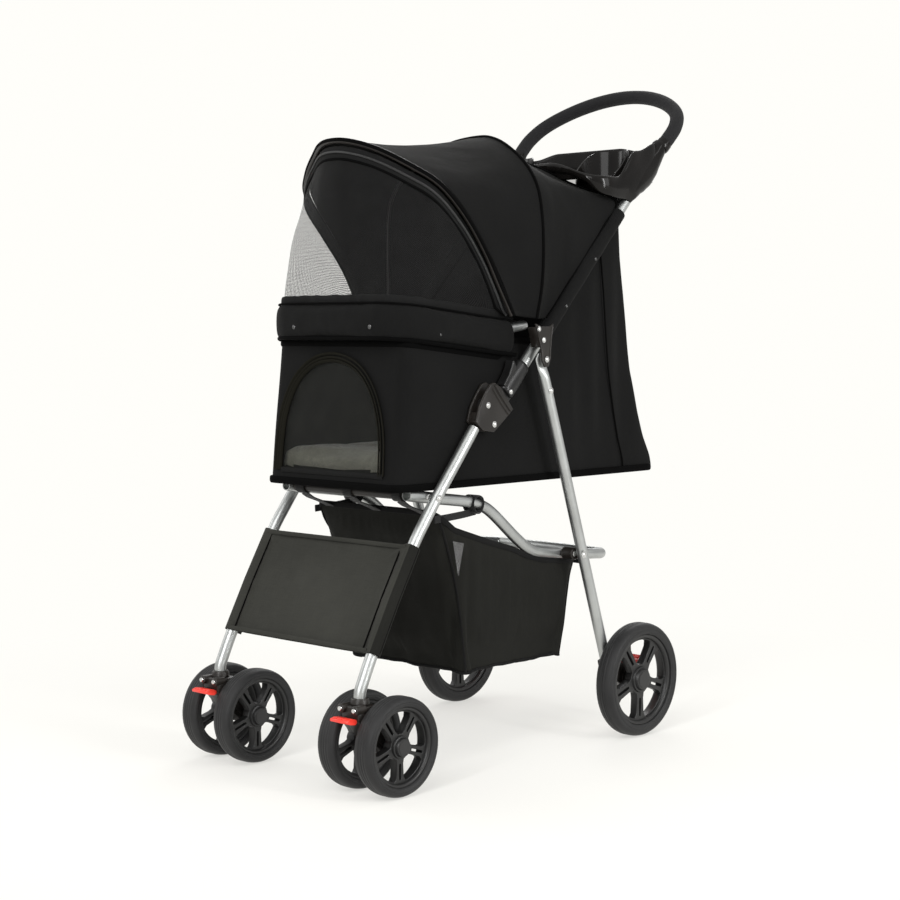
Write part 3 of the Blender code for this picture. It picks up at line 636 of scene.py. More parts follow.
# ------------------------------------------------------------ cloth helpers
def pinned_cloth(item, hold, frames=20, pressure=0.0, gravity=1.0, bend=2.0, stiff=20.0,
                 shrink=0.0, reach=0.010):
    """Run cloth on a mesh whose points hold() keeps, and cap how far a point moves."""
    mesh = item.data
    start = [v.co.copy() for v in mesh.vertices]
    group = item.vertex_groups.new(name="held")
    for v in mesh.vertices:
        share = hold(v.co)
        if share > 0.0:
            group.add([v.index], min(1.0, share), "REPLACE")
    step = item.modifiers.new("cloth", "CLOTH")
    rules = step.settings
    rules.quality = 6
    rules.mass = 0.25
    rules.vertex_group_mass = "held"
    rules.tension_stiffness = stiff
    rules.compression_stiffness = stiff
    rules.shear_stiffness = stiff * 0.5
    rules.bending_stiffness = bend
    rules.shrink_min = shrink
    rules.effector_weights.gravity = gravity
    rules.use_pressure = pressure != 0.0
    rules.uniform_pressure_force = pressure
    step.collision_settings.use_collision = False
    step.point_cache.frame_end = frames
    scene = bpy.context.scene
    for moment in range(1, frames + 1):
        scene.frame_set(moment)
    graph = bpy.context.evaluated_depsgraph_get()
    shown = item.evaluated_get(graph).data
    moved = [v.co.copy() for v in shown.vertices]
    item.modifiers.remove(step)
    scene.frame_set(1)
    for v, a, b in zip(mesh.vertices, start, moved):
        push = b - a
        if push.length > reach:
            push *= reach / push.length
        v.co = a + push
    mesh.update()
    return item


def remeshed(item, size):
    step = item.modifiers.new("remesh", "REMESH")
    step.mode = "VOXEL"
    step.voxel_size = size
    return baked(item)


# ------------------------------------------------------------- room and view
LAMPS = (
    ("key", (1.2, -2.6, 2.6), 1.8, 42.0), ("side", (3.0, 0.6, 1.5), 1.6, 26.0),
    ("back", (-1.6, 2.4, 2.2), 1.6, 26.0), ("far", (-2.8, -1.2, 1.6), 1.4, 18.0),
)
STRIPS = (("strip_front", (0.7, -2.7, 1.3), 26.0), ("strip_side", (2.7, 0.1, 1.2), 26.0))


def area_lamp(name, place, power, size, aim_z):
    """Square or, with two sizes, rectangular lamp that faces the stroller."""
    lamp = bpy.data.lights.new(name, "AREA")
    lamp.energy = power
    lamp.size = size[0]
    if len(size) > 1:
        lamp.shape = "RECTANGLE"
        lamp.size_y = size[1]
    holder = bpy.data.objects.new(name, lamp)
    bpy.context.scene.collection.objects.link(holder)
    holder.location = place
    aim = Vector((0.0, 0.0, aim_z)) - Vector(place)
    holder.rotation_euler = aim.to_track_quat("-Z", "Y").to_euler()


def make_room():
    scene = bpy.context.scene
    camera = bpy.data.objects.new("camera", bpy.data.cameras.new("camera"))
    scene.collection.objects.link(camera)
    camera.data.lens = 72.19
    eye = Vector((1.7887, -1.9124 - MID_Y, 0.5990))
    target = Vector((0.0, -MID_Y, 0.4258))
    camera.location = eye
    camera.rotation_euler = (target - eye).to_track_quat("-Z", "Y").to_euler()
    scene.camera = camera
    scene.view_settings.view_transform = "Standard"

    world = bpy.data.worlds.new("room")
    scene.world = world
    world.use_nodes = True
    tree = world.node_tree
    tree.nodes.clear()
    seen = add(tree, "Background", {"Color": WHITE_ROOM + (1.0,), "Strength": 1.0})
    spot = add(tree, "TexCoord").outputs["Generated"]
    height = add(tree, "SeparateXYZ", {"Vector": spot}).outputs["Z"]
    above = add(tree, "MapRange", {"Value": height, "From Min": -0.2}).outputs[0]
    glow = span(tree, above, 0.40, 0.90)
    lit = add(tree, "Background", {"Color": (1.0, 0.995, 0.98, 1.0), "Strength": glow})
    path = add(tree, "LightPath").outputs["Is Camera Ray"]
    mixed = add(tree, "MixShader", {0: path, 1: lit.outputs[0], 2: seen.outputs[0]})
    out = add(tree, "OutputWorld")
    tree.links.new(mixed.outputs[0], out.inputs["Surface"])

    for name, place, size, power in LAMPS:
        area_lamp(name, place, power, (size,), 0.45)
    for name, place, power in STRIPS:
        area_lamp(name, place, power, (0.16, 1.7), 0.60)

    floor_mesh = bpy.data.meshes.new("floor")
    far = 40.0
    corners = [(-far, -far, 0), (far, -far, 0), (far, far, 0), (-far, far, 0)]
    floor_mesh.from_pydata(corners, [], [(0, 1, 2, 3)])
    floor = bpy.data.objects.new("floor", floor_mesh)
    scene.collection.objects.link(floor)
    floor.location.z = -0.0006
    tree, shader = blank("floor", Roughness=0.9, Specular_IOR_Level=0.1)
    spot = add(tree, "TexCoord").outputs["Object"]
    tone = noise_of(tree, spot, 3.0, 2.0)
    pale = ramp(tree, tone, (0.80, 0.79, 0.755, 1), (0.82, 0.81, 0.775, 1))
    tree.links.new(pale, shader.inputs["Base Color"])
    reach = add(tree, "VectorMath", {0: spot}, operation="LENGTH").outputs["Value"]
    far_off = add(tree, "MapRange", {"Value": reach, "From Min": 0.55, "From Max": 1.15, "To Min": 0.55})
    glow = add(tree, "Emission", {"Color": WHITE_ROOM + (1.0,), "Strength": 1.0})
    shares = {0: far_off.outputs["Result"], 1: shader.outputs[0], 2: glow.outputs[0]}
    faded = add(tree, "MixShader", shares)
    tree.links.new(faded.outputs[0], tree.nodes["Material Output"].inputs["Surface"])
    floor_mesh.materials.append(LOOKS["floor"])


# ---------------------------------------------------------------- frame tubes
FRONT_LEG = (
    (-0.318, 0.1215), (-0.318, 0.1345), (-0.3125, 0.1480), (-0.2963, 0.1810),
    (-0.2600, 0.2480), (-0.2209, 0.3145), (-0.1960, 0.3490), (-0.1690, 0.3840),
    (-0.1350, 0.4250), (-0.1010, 0.4665),
)
SEAT_TUBE = (
    (SEAT_X, -0.2120, 0.3812), (SEAT_X, -0.1520, 0.3728), (SEAT_X, -0.0980, 0.3655),
    (SEAT_X, -0.0700, 0.3590), (SEAT_X, -0.0430, 0.3460), (SEAT_X, 0.0090, 0.3060),
    (SEAT_X, 0.0380, 0.2880), (SEAT_X, 0.0680, 0.2805), (SEAT_X, 0.1420, 0.2715),
    (SEAT_X, 0.1880, 0.2680), (0.1140, 0.2080, 0.2660), (0.1010, 0.2200, 0.2650),
    (0.0850, 0.2240, 0.2645),
)


def hollow_tube(name, points, radius=TUBE_R, wall=0.0012, deep=0.012):
    """Round tube whose open ends show its wall and dark bore."""
    first = (points[1] - points[0]).normalized()
    last = (points[-2] - points[-1]).normalized()
    run = [points[0] + first * deep, points[0] + first * 0.0001] + list(points)
    run += [points[-1] + last * 0.0001, points[-1] + last * deep]
    bore = (radius - wall) / radius
    edge = (radius - 0.0003) / radius
    sizes = [(bore, bore), (bore, bore), (edge, edge)] + [(1.0, 1.0)] * (len(points) - 2)
    sizes += [(edge, edge), (bore, bore), (bore, bore)]
    bm = bmesh.new()
    layer = bm.loops.layers.uv.new("cut")
    along = (points[1] - points[0]).normalized()
    across = along.orthogonal().normalized()
    rings = []
    for k, place in enumerate(run):
        inner = min(max(k - 2, 0), len(points) - 1)
        low, high = points[max(inner - 1, 0)], points[min(inner + 1, len(points) - 1)]
        along = (high - low).normalized()
        across = (across - along * across.dot(along)).normalized()
        up = along.cross(across)
        ring = [place + (across * u + up * v) * sizes[k][0] for u, v in circle(radius, 28)]
        rings.append([bm.verts.new(p) for p in ring])
    length = running_length(list(points))
    for j, (low, high) in enumerate(zip(rings, rings[1:])):
        u0 = length[min(max(j - 2, 0), len(length) - 1)]
        u1 = length[min(max(j - 1, 0), len(length) - 1)]
        for k in range(28):
            n = (k + 1) % 28
            face = bm.faces.new((low[k], low[n], high[n], high[k]))
            spots = ((u0, k), (u0, k + 1), (u1, k + 1), (u1, k))
            for loop, (u, c) in zip(face.loops, spots):
                loop[layer].uv = (u, c * radius * 0.224)
    bm.faces.new(rings[0])
    bm.faces.new(rings[-1])
    return from_bmesh(name, bm)


def make_tubes():
    low = at(0.0845, TUBE_OFFSET)
    for side, tag in SIDES:
        leg = spline([(side * FRAME_X, y, z) for y, z in FRONT_LEG], 6)
        swapped(hollow_tube("front_leg_tube_" + tag, leg), "tube", "lower_frame",
                "front_leg_" + tag)
        spots = [Vector((side * FRAME_X,) + low), Vector((side * FRAME_X, 0.2405, 0.7990))]
        swapped(hollow_tube("handle_tube_" + tag, evenly(spots, 24)), "tube", "handle_frame",
                "upper_tube_" + tag)
        make_rear_leg(side, tag)
        stub = [Vector((side * 0.1255, -0.0300, 0.6000)), Vector((side * 0.1255, 0.0180, 0.6070))]
        swapped(hollow_tube("bar_stub_" + tag, evenly(stub, 8), 0.0072), "tube", "front_bar_body",
                "front_bar_stub_" + tag)
    half = list(SEAT_TUBE)
    full = spline(half + [(-x, y, z) for x, y, z in reversed(half)], 6)
    swapped(hollow_tube("seat_rail", full), "tube", "seat_frame", "seat_tube")
    span_x = SEAT_X - TUBE_R - 0.0004
    bar = [Vector((-span_x, -0.2000, 0.3796)), Vector((span_x, -0.2000, 0.3796))]
    swapped(sweep("seat_cross_tube", evenly(bar, 12), circle(0.0065)), "plastic", "seat_frame",
            "seat_front_bar")
    span_x = FRAME_X - TUBE_R - 0.0004
    bar = [Vector((-span_x, 0.228, 0.792)), Vector((span_x, 0.228, 0.792))]
    swapped(sweep("handle_cross_tube", evenly(bar, 12), circle(0.0065)), "tube", "handle_frame",
            "handle_crossbar")


def rear_leg_y(z):
    """Y of the rear leg's middle line at a height."""
    return LEG_PIVOT[0] + (z - LEG_PIVOT[1]) * REAR_SLOPE


def make_rear_leg(side, tag):
    """Straight leg whose top is pressed flat round its pivot."""
    top, foot = [
        Vector((side * REAR_X, rear_leg_y(z), z)) for z in (LEG_PIVOT[1] + 0.0085, 0.1180)
    ]
    run = evenly([top, foot], 90)
    sizes = []
    for place in run:
        down = (place - top).length
        flat = min(1.0, max(0.0, (down - 0.016) / 0.022))
        ease = flat * flat * (3.0 - 2.0 * flat)
        tip = math.sqrt(max(0.05, min(1.0, 1.0 - (1.0 - min(down, 0.008) / 0.008) ** 2)))
        sizes.append((0.34 + 0.66 * ease, (1.18 - 0.18 * ease) * tip))
    leg = sweep("rear_leg_tube_" + tag, run, circle(TUBE_R, 28), side=(1, 0, 0), sizes=sizes)
    swapped(leg, "tube", "rear_leg_body_" + tag, "rear_leg_" + tag)


def rivet(name, place, outward, radius=0.0042, height=0.0020):
    """Domed rivet head on a small washer, facing outward along X."""
    x, y, z = place
    out = outward
    profile = [(0.0, 0.0), (radius * 1.35, 0.0), (radius * 1.38, out * 0.0006), (radius * 1.05, out * 0.0008)]
    for k in range(7):
        a = math.radians(90.0 * k / 6)
        profile.append((radius * math.cos(a), out * (0.0008 + height * math.sin(a))))
    profile[-1] = (0.0, out * (0.0008 + height))
    return turned(name, profile, (x, y, z), 28, closed=False)


# ------------------------------------------------------------ hinges, brackets
def ridge(name, points, radius=0.0012):
    return sweep(name, evenly(spline(points, 6), 24), circle(radius, 12), side=(1, 0, 0))


def make_hinges():
    cheek = [at(s, n) for s, n in (
        (0.0300, 0.0150), (0.0345, 0.0000), (0.0300, -0.0400), (0.0090, -0.0370),
        (-0.0200, -0.0320), (-0.0330, -0.0140), (-0.0345, 0.0060), (-0.0150, 0.0150),
        (0.0080, 0.0190), (0.0220, 0.0200),
    )]
    web = [at(s, n) for s, n in (
        (-0.0145, -0.0290), (-0.0145, -0.0020), (-0.0200, 0.0090), (-0.0335, 0.0055),
        (-0.0325, -0.0130), (-0.0200, -0.0310),
    )]
    tongue = [at(s, n) for s, n in (
        (0.0450, -0.0300), (0.0450, -0.0095), (0.0080, 0.0080), (0.0000, 0.0110),
        (-0.0080, 0.0080), (-0.0110, 0.0000), (-0.0080, -0.0080), (0.0150, -0.0270),
    )]
    latch = [at(s, n) for s, n in (
        (0.0420, -0.0080), (0.0420, -0.0030), (0.0600, -0.0015), (0.0745, 0.0030),
        (0.0800, 0.0060), (0.0815, 0.0030), (0.0780, -0.0045), (0.0760, -0.0080),
    )]
    for side, tag in SIDES:
        pieces = [plate("web", web, *mirrored(side, 0.1325, 0.1445))]
        for x0, x1 in ((0.1290, 0.1330), (0.1440, 0.1480)):
            pieces.append(plate("cheek", cheek, *mirrored(side, x0, x1), 0.0014, 4))
        x = side * 0.1480
        front_edge = [Vector((x,) + at(s, n)) for s, n in (
            (-0.0300, 0.0050), (-0.0130, 0.0130), (0.0080, 0.0170), (0.0230, 0.0178), (0.0290, 0.0135))]
        pieces.append(ridge("edge", front_edge, 0.0011))
        for shift in (0.0, -0.0062):
            line = [Vector((x,) + at(s, n)) for s, n in (
                (0.0275 + shift, 0.0120), (0.0250 + shift, -0.0120), (0.0240 + shift, -0.0370))]
            pieces.append(ridge("diagonal", line, 0.0014))
        swapped(joined("hinge_leaf_" + tag, pieces), "plastic", "lower_frame",
                "hinge_lower_" + tag)
        heads = []
        for s, n in ((-0.0015, 0.0030), (-0.0117, -0.0245)):
            heads.append(rivet("head", (x,) + at(s, n), side, 0.0031, 0.0018))
        dressed(joined("hinge_rivets_" + tag, heads), "rivet", "lower_frame")

        mid = TUBE_OFFSET + 0.0018
        run = evenly([Vector((side * 0.1388,) + at(s, mid)) for s in (0.0380, 0.0945)], 25)
        sizes = []
        for k in range(25):
            swell = 0.94 + 0.10 * math.sin(math.pi * min(1.0, k / 20.0))
            tip = (0.84, 0.95)[min(k, 24 - k)] if min(k, 24 - k) < 2 else 1.0
            sizes.append((tip * 0.98, tip * swell))
        sleeve = sweep("sleeve", run, oval(0.0104, 0.0130, 0.88, 32), side=(1, 0, 0), sizes=sizes)
        inner = plate("tongue", tongue, *mirrored(side, 0.1337, 0.1433))
        swapped(joined("hinge_sleeve_" + tag, [subdivided(sleeve), inner]), "black_plastic", "handle_frame",
                "hinge_upper_" + tag)
        head = rivet("sleeve_rivet_" + tag, (side * 0.1479,) + at(0.0440, -0.0185), side, 0.0029, 0.0016)
        dressed(head, "rivet", "handle_frame")
        tab = plate("latch_tab_" + tag, latch, *mirrored(side, 0.1315, 0.1465), 0.0016, 4)
        swapped(tab, "black_plastic", "fold_latch_body_" + tag, "fold_latch_" + tag)


def make_pin(node, body):
    """Pivot pin with chamfered ends and a groove at its middle, in place of a frame node."""
    low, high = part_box(node)
    radius = (high.z - low.z) / 2.0
    half = (high.x - low.x) / 2.0
    right = [(0.0, half), (radius - 0.0006, half), (radius, half - 0.0006), (radius, 0.0006),
             (radius * 0.94, 0.0003)]
    profile = right + [(r, -x) for r, x in reversed(right)]
    middle = (low + high) / 2.0
    pin = turned("pin_" + node, profile, (middle.x, middle.y + MID_Y, middle.z), 28, closed=False)
    swapped(pin, "rivet", body, node)


COLLAR = (
    (0.0050, 0.1278), (0.0085, 0.1278), (0.0090, 0.1290),
    (0.0090, 0.1470), (0.0080, 0.1482), (0.0050, 0.1482),
)
CAP_RIVET_Z = 0.515
BRACKET_RIBS = (
    ((0.0300, 0.6050), (0.0262, 0.5850), (0.0240, 0.5620), (0.0190, 0.5520)),
    ((-0.0030, 0.6050), (0.0085, 0.5740), (0.0112, 0.5580), (0.0153, 0.5510)),
)


def make_brackets():
    outline = (
        (-0.0060, 0.6090), (0.0010, 0.5900), (0.0068, 0.5720), (0.0090, 0.5560), (0.0135, 0.5480),
        (0.0225, 0.5490), (0.0265, 0.5600), (0.0285, 0.5850), (0.0325, 0.6090), (0.0240, 0.6050),
        (0.0050, 0.6050),
    )
    spacer = ((0.0000, 0.6040), (0.0080, 0.5755), (0.0275, 0.5755), (0.0300, 0.6040))
    for side, tag in SIDES:
        pieces = [
            plate("plate", outline, *mirrored(side, 0.1650, 0.1685), 0.0012, 3),
            plate("spacer", spacer, *mirrored(side, 0.1476, 0.1655), 0.0010, 2),
        ]
        x = side * 0.1683
        for rib in BRACKET_RIBS:
            pieces.append(ridge("rib", [Vector((x, y, z)) for y, z in rib], 0.0011))
        swapped(joined("bracket_" + tag, pieces), "plastic", "handle_frame",
                "handle_bracket_" + tag)
        spots = ((0.0005, 0.6015), (0.0110, 0.5860))
        heads = [rivet("head", (x, y, z), side, 0.0028, 0.0016) for y, z in spots]
        dressed(joined("bracket_rivets_" + tag, heads), "rivet", "handle_frame")
        head = rivet("leg_pin_head_" + tag, (side * 0.1689,) + LEG_PIVOT, side, 0.0031, 0.0020)
        swapped(head, "rivet", "handle_frame", "leg_rivet_" + tag)
        make_pin("seat_pivot_" + tag, "lower_frame")
        make_pin("link_pin_" + tag, "rear_leg_body_" + tag)
        caps = (
            ("leg_cap_rivet_", (rear_leg_y(CAP_RIVET_Z), CAP_RIVET_Z), 0.0034),
            ("link_rivet_", LINK_PIVOT, 0.0038),
        )
        for name, spot, radius in caps:
            head = rivet(name + tag, (side * (REAR_X + PROUD),) + spot, side, radius)
            dressed(head, "rivet", "rear_leg_body_" + tag)
        profile = [(r, side * along) for r, along in COLLAR]
        collar = turned("link_spacer_" + tag, profile, (0.0,) + LINK_PIVOT, 28)
        dressed(collar, "plastic", "rear_leg_body_" + tag)
        head = rivet("seat_rivet_" + tag, (side * (FRAME_X + PROUD),) + SEAT_PIVOT, side, 0.0036)
        dressed(head, "rivet", "lower_frame")


# -------------------------------------------------------------------- wheels
def tyre_profile(radius, width):
    """Section of a tyre with a rounded tread, a side groove and a rim lip."""
    half = width / 2.0
    right = [
        (0.800, 0.60), (0.804, 0.84), (0.830, 0.93), (0.872, 0.985), (0.884, 0.950), (0.896, 0.950),
        (0.908, 0.990), (0.940, 0.960), (0.965, 0.860), (0.985, 0.690), (0.996, 0.470), (1.0, 0.34),
        (0.992, 0.30), (0.992, 0.25), (1.0, 0.21), (1.0, 0.06), (0.992, 0.03),
    ]
    spots = [(radius * r, half * x) for r, x in right]
    return spots + [(r, -x) for r, x in reversed(spots)]


def rim_profile(radius, width):
    """Ring inside the tyre: a flange each side of a shallow channel."""
    half = width / 2.0
    right = [(0.720, 0.0), (0.716, 0.34), (0.728, 0.52), (0.740, 0.66), (0.760, 0.72), (0.790, 0.72),
             (0.7985, 0.66)]
    spots = [(radius * r, half * x) for r, x in right]
    return spots + [(r, -x) for r, x in reversed(spots[1:])]


def wheel_window(radius, middle, spread0, spread1, inner, outer):
    """Opening between spokes with rounded corners, as points about the axle."""
    spots = []
    for k in range(13):
        a = middle + spread1 * (k - 6) / 6.0
        spots.append(Vector((outer * radius * math.cos(a), outer * radius * math.sin(a), 0.0)))
    for k in range(7):
        a = middle - spread0 * (k - 3) / 3.0
        spots.append(Vector((inner * radius * math.cos(a), inner * radius * math.sin(a), 0.0)))
    soft = []
    total = len(spots)
    for k, spot in enumerate(spots):
        before, after = spots[k - 1], spots[(k + 1) % total]
        soft.append(spot * 0.6 + (before + after) * 0.2)
    return soft


def wheel_face(name, centre, radius, width):
    """Rim web and five paired spokes, cut from one flat outline with softened edges."""
    curve = bpy.data.curves.new(name, "CURVE")
    curve.dimensions = "2D"
    curve.fill_mode = "BOTH"
    curve.extrude = width * 0.17
    curve.bevel_depth = 0.0009
    curve.bevel_resolution = 2
    curve.offset = -0.0009
    outlines = [[Vector((radius * 0.735 * u, radius * 0.735 * v, 0.0)) for u, v in circle(1.0, 96)]]
    for k in range(5):
        a = 2.0 * math.pi * (k + 0.25) / 5
        outlines.append(wheel_window(radius, a, 0.33, 0.49, 0.27, 0.70))
        outlines.append(wheel_window(radius, a + math.pi / 5, 0.085, 0.035, 0.34, 0.66))
    for spots in outlines:
        run = curve.splines.new("POLY")
        run.points.add(len(spots) - 1)
        for spot, place in zip(run.points, spots):
            spot.co = (place.x, place.y, 0.0, 1.0)
        run.use_cyclic_u = True
    holder = bpy.data.objects.new(name, curve)
    bpy.context.scene.collection.objects.link(holder)
    bpy.context.view_layer.update()
    graph = bpy.context.evaluated_depsgraph_get()
    mesh = bpy.data.meshes.new_from_object(holder.evaluated_get(graph))
    bpy.data.objects.remove(holder, do_unlink=True)
    stand = Matrix(((0, 0, 1, 0), (1, 0, 0, 0), (0, 1, 0, 0), (0, 0, 0, 1)))
    mesh.transform(Matrix.Translation(centre) @ stand)
    item = bpy.data.objects.new(name, mesh)
    bpy.context.scene.collection.objects.link(item)
    return item


def boss_profile(radius, width):
    """Hub barrel with a stepped cap on each face."""
    half = width / 2.0
    right = [(0.232, 0.0), (0.232, 0.46), (0.222, 0.56), (0.196, 0.60), (0.190, 0.74), (0.176, 0.86),
             (0.120, 0.90), (0.112, 0.84), (0.060, 0.83), (0.0, 0.83)]
    spots = [(radius * r, half * x) for r, x in right]
    return [(r, -x) for r, x in reversed(spots[1:])] + spots


def make_wheel(tag, node_tag, centre, radius, width, body):
    tyre = turned("tyre_" + tag, tyre_profile(radius, width), centre, 112)
    swapped(tyre, "rubber", body, node_tag[0], sharp=50)
    rim = turned("rim", rim_profile(radius, width), centre, 96)
    face = wheel_face("face", centre, radius, width)
    boss = turned("boss", boss_profile(radius, width), centre, 48, closed=False)
    facets = turned("facets", [(radius * 0.150, -width * 0.455), (radius * 0.150, width * 0.455),
                               (0.0, width * 0.455), (0.0, -width * 0.455)], centre, 10)
    hub = joined("wheel_hub_" + tag, [rim, face, boss, facets])
    swapped(hub, "hub_plastic", body, node_tag[1])


def wheel_centre(node):
    low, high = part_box(node)
    middle = (low + high) / 2.0
    return Vector((middle.x, middle.y + MID_Y, middle.z)), (high.z - low.z) / 2.0, high.x - low.x


def make_wheels():
    for _side, tag in SIDES:
        centre, radius, width = wheel_centre("rear_tyre_" + tag)
        nodes = ("rear_tyre_" + tag, "rear_hub_" + tag)
        make_wheel("rear_" + tag, nodes, centre, radius, width, "rear_wheel_" + tag)
        for where in ("outer", "inner"):
            name = tag + "_" + where
            centre, radius, width = wheel_centre("front_tyre_" + name)
            nodes = ("front_tyre_" + name, "front_hub_" + name)
            make_wheel("front_" + name, nodes, centre, radius, width, "front_wheel_" + name)


def screw_head(name, place, radius=0.0034):
    """Pan head, facing -Y."""
    profile = [(0.0, 0.001), (radius, 0.001), (radius, -0.0004), (radius * 0.8, -0.0016), (0.0, -0.0020)]
    head = turned(name, profile, place, 24, closed=False, axis="Y")
    return head


def make_casters():
    outline = (
        (-0.3360, 0.1195), (-0.3020, 0.1195), (-0.2900, 0.1050), (-0.2740, 0.0760),
        (-0.2720, 0.0600), (-0.2790, 0.0530), (-0.2920, 0.0530), (-0.3080, 0.0680),
        (-0.3240, 0.0930), (-0.3360, 0.1010),
    )
    for side, tag in SIDES:
        x = side * FRAME_X
        body = "caster_" + tag
        core = plate("core", outline, x - 0.0160, x + 0.0160, 0.0022, 4)
        collar = turned("collar", [(0.0090, 0.1200), (0.0118, 0.1200), (0.0124, 0.1212), (0.0118, 0.1265),
                                   (0.0104, 0.1285), (0.0090, 0.1285)], (x, -0.318, 0.0), 40, axis="Z")
        pieces = [core, collar]
        for step in (-1, 1):
            ear = turned("ear", [(0.0, -0.0080), (0.0052, -0.0080), (0.0060, -0.0070), (0.0060, 0.0090),
                                 (0.0, 0.0090)], (x + step * 0.0128, -0.3330, 0.1165), 28, closed=False,
                                 axis="Y")
            pieces.append(ear)
            cheek = [(y, z) for y, z in ((-0.3330, 0.1170), (-0.3050, 0.1170), (-0.2760, 0.0740),
                                         (-0.2755, 0.0620), (-0.2850, 0.0560), (-0.3020, 0.0720))]
            x0 = x + step * 0.0160
            pieces.append(plate("rib", cheek, min(x0, x0 + step * 0.0010), max(x0, x0 + step * 0.0010),
                                0.0004, 2))
        swapped(joined("fork_" + tag, pieces), "fork_plastic", body, "caster_fork_" + tag)
        screws = [screw_head("screw", (x + step * 0.0128, -0.3412, 0.1165)) for step in (-1, 1)]
        dressed(joined("fork_screws_" + tag, screws), "rivet", body)
        axle = [Vector((x - 0.0215, -0.285, 0.0652)), Vector((x + 0.0215, -0.285, 0.0652))]
        pin = sweep("front_axle_" + tag, evenly(axle, 4), circle(0.0042, 20), side=(0, 1, 0))
        dressed(pin, "rivet", body)
        lever = ((-0.3370, 0.1022), (-0.3385, 0.1050), (-0.3410, 0.1062), (-0.3500, 0.1072),
                 (-0.3565, 0.1058), (-0.3565, 0.1022), (-0.3480, 0.0996), (-0.3410, 0.0986),
                 (-0.3385, 0.0996))
        tab = plate("lock", lever, x - 0.0155, x + 0.0155, 0.0010, 3)
        lips = [tab]
        for step in (-1, 0, 1):
            grip = [Vector((x + step * 0.0085 - 0.0030, -0.3535, 0.10655)),
                    Vector((x + step * 0.0085 + 0.0030, -0.3535, 0.10655))]
            lips.append(sweep("grip", evenly(grip, 6), oval(0.0011, 0.0011, 1.0, 10), side=(0, 1, 0)))
        swapped(joined("swivel_lock_" + tag, lips), "red", "caster_lever_" + tag,
                "caster_lock_" + tag)


BARREL = (
    (0.0, 0.146), (0.0125, 0.146), (0.0135, 0.147), (0.0135, 0.1645), (0.0125, 0.1655), (0.0, 0.1655),
)


def make_rear_ends():
    block = ((0.1584, 0.1144), (0.1764, 0.1205), (0.2050, 0.1040), (0.2270, 0.0960),
             (0.2290, 0.0760), (0.2180, 0.0690), (0.2020, 0.0710), (0.1640, 0.0960))
    pedal = ((0.2060, 0.1050), (0.2180, 0.1013), (0.2300, 0.0970), (0.2550, 0.1000),
             (0.2640, 0.1040), (0.2630, 0.1090), (0.2400, 0.1070), (0.2100, 0.1110))
    for side, tag in SIDES:
        pieces = [plate("block", block, *mirrored(side, 0.1480, 0.1640), 0.0020, 4)]
        profile = [(r, side * along) for r, along in BARREL]
        pieces.append(turned("barrel", profile, (0.0, AXLE_Y, 0.0838), 36, closed=False))
        swapped(joined("axle_housing_" + tag, pieces), "fork_plastic", "rear_leg_body_" + tag,
                "axle_block_" + tag)
        pieces = [plate("pedal", pedal, *mirrored(side, 0.1300, 0.1640), 0.0014, 4)]
        for k in range(4):
            y = 0.2430 + 0.0052 * k
            rib = [Vector((side * x, y, 0.1076 + 0.0004 * k)) for x in (0.1340, 0.1600)]
            pieces.append(sweep("tread", evenly(rib, 6), circle(0.0008, 10), side=(0, 1, 0)))
        swapped(joined("pedal_" + tag, pieces), "red", "pedal_body_" + tag,
                "brake_pedal_" + tag)


# -------------------------------------------------------------------- handle
def ease(value, low, high):
    t = min(1.0, max(0.0, (value - low) / (high - low)))
    return t * t * (3.0 - 2.0 * t)


FRONT_FOOT = ((0.0, 0.8350), (0.050, 0.8345), (0.083, 0.8300), (0.100, 0.8270), (0.130, 0.8160),
              (0.151, 0.8070))
SIDE_FOOT = (
    (0.149, 0.8070), (0.160, 0.8010), (0.175, 0.7970), (0.200, 0.7935), (0.224, 0.7925), (0.2325, 0.7870),
    (0.2425, 0.7930), (0.258, 0.8080), (0.280, 0.8330), (0.2965, 0.8540), (0.320, 0.8620),
)


def tray_top(x, y):
    """Rim height: a low scooped lip in front and outside, rising to the loop sockets behind."""
    lip = 0.8460 - 0.0222 * ease(abs(x), 0.060, 0.150)
    back = 0.8790 - 0.0080 * ease(abs(x), 0.060, 0.110)
    back -= 0.0060 * ease(abs(x), 0.120, 0.146) * (1.0 - ease(y, 0.245, 0.285))
    socket = 0.0090 * ease(abs(x), 0.120, 0.146) * ease(y, 0.255, 0.300)
    return lip + (back - lip) * ease(y, 0.198, 0.246) + socket


def tray_foot(x, y):
    """Height of the body's lower edge: it sweeps down to the tube sockets."""
    inner = 0.8460 + 0.0060 * ease(y, 0.200, 0.318)
    base = inner + (read_off(FRONT_FOOT, abs(x)) - inner) * (1.0 - ease(y, 0.152, 0.200))
    return base + (read_off(SIDE_FOOT, y) - base) * ease(abs(x), 0.122, 0.146)


DECK_TOP, DECK_LOW = 0.8235, 0.8205
WELL = (0.0930, 0.2330, 0.0385)          # cup well: X, Y and bore radius


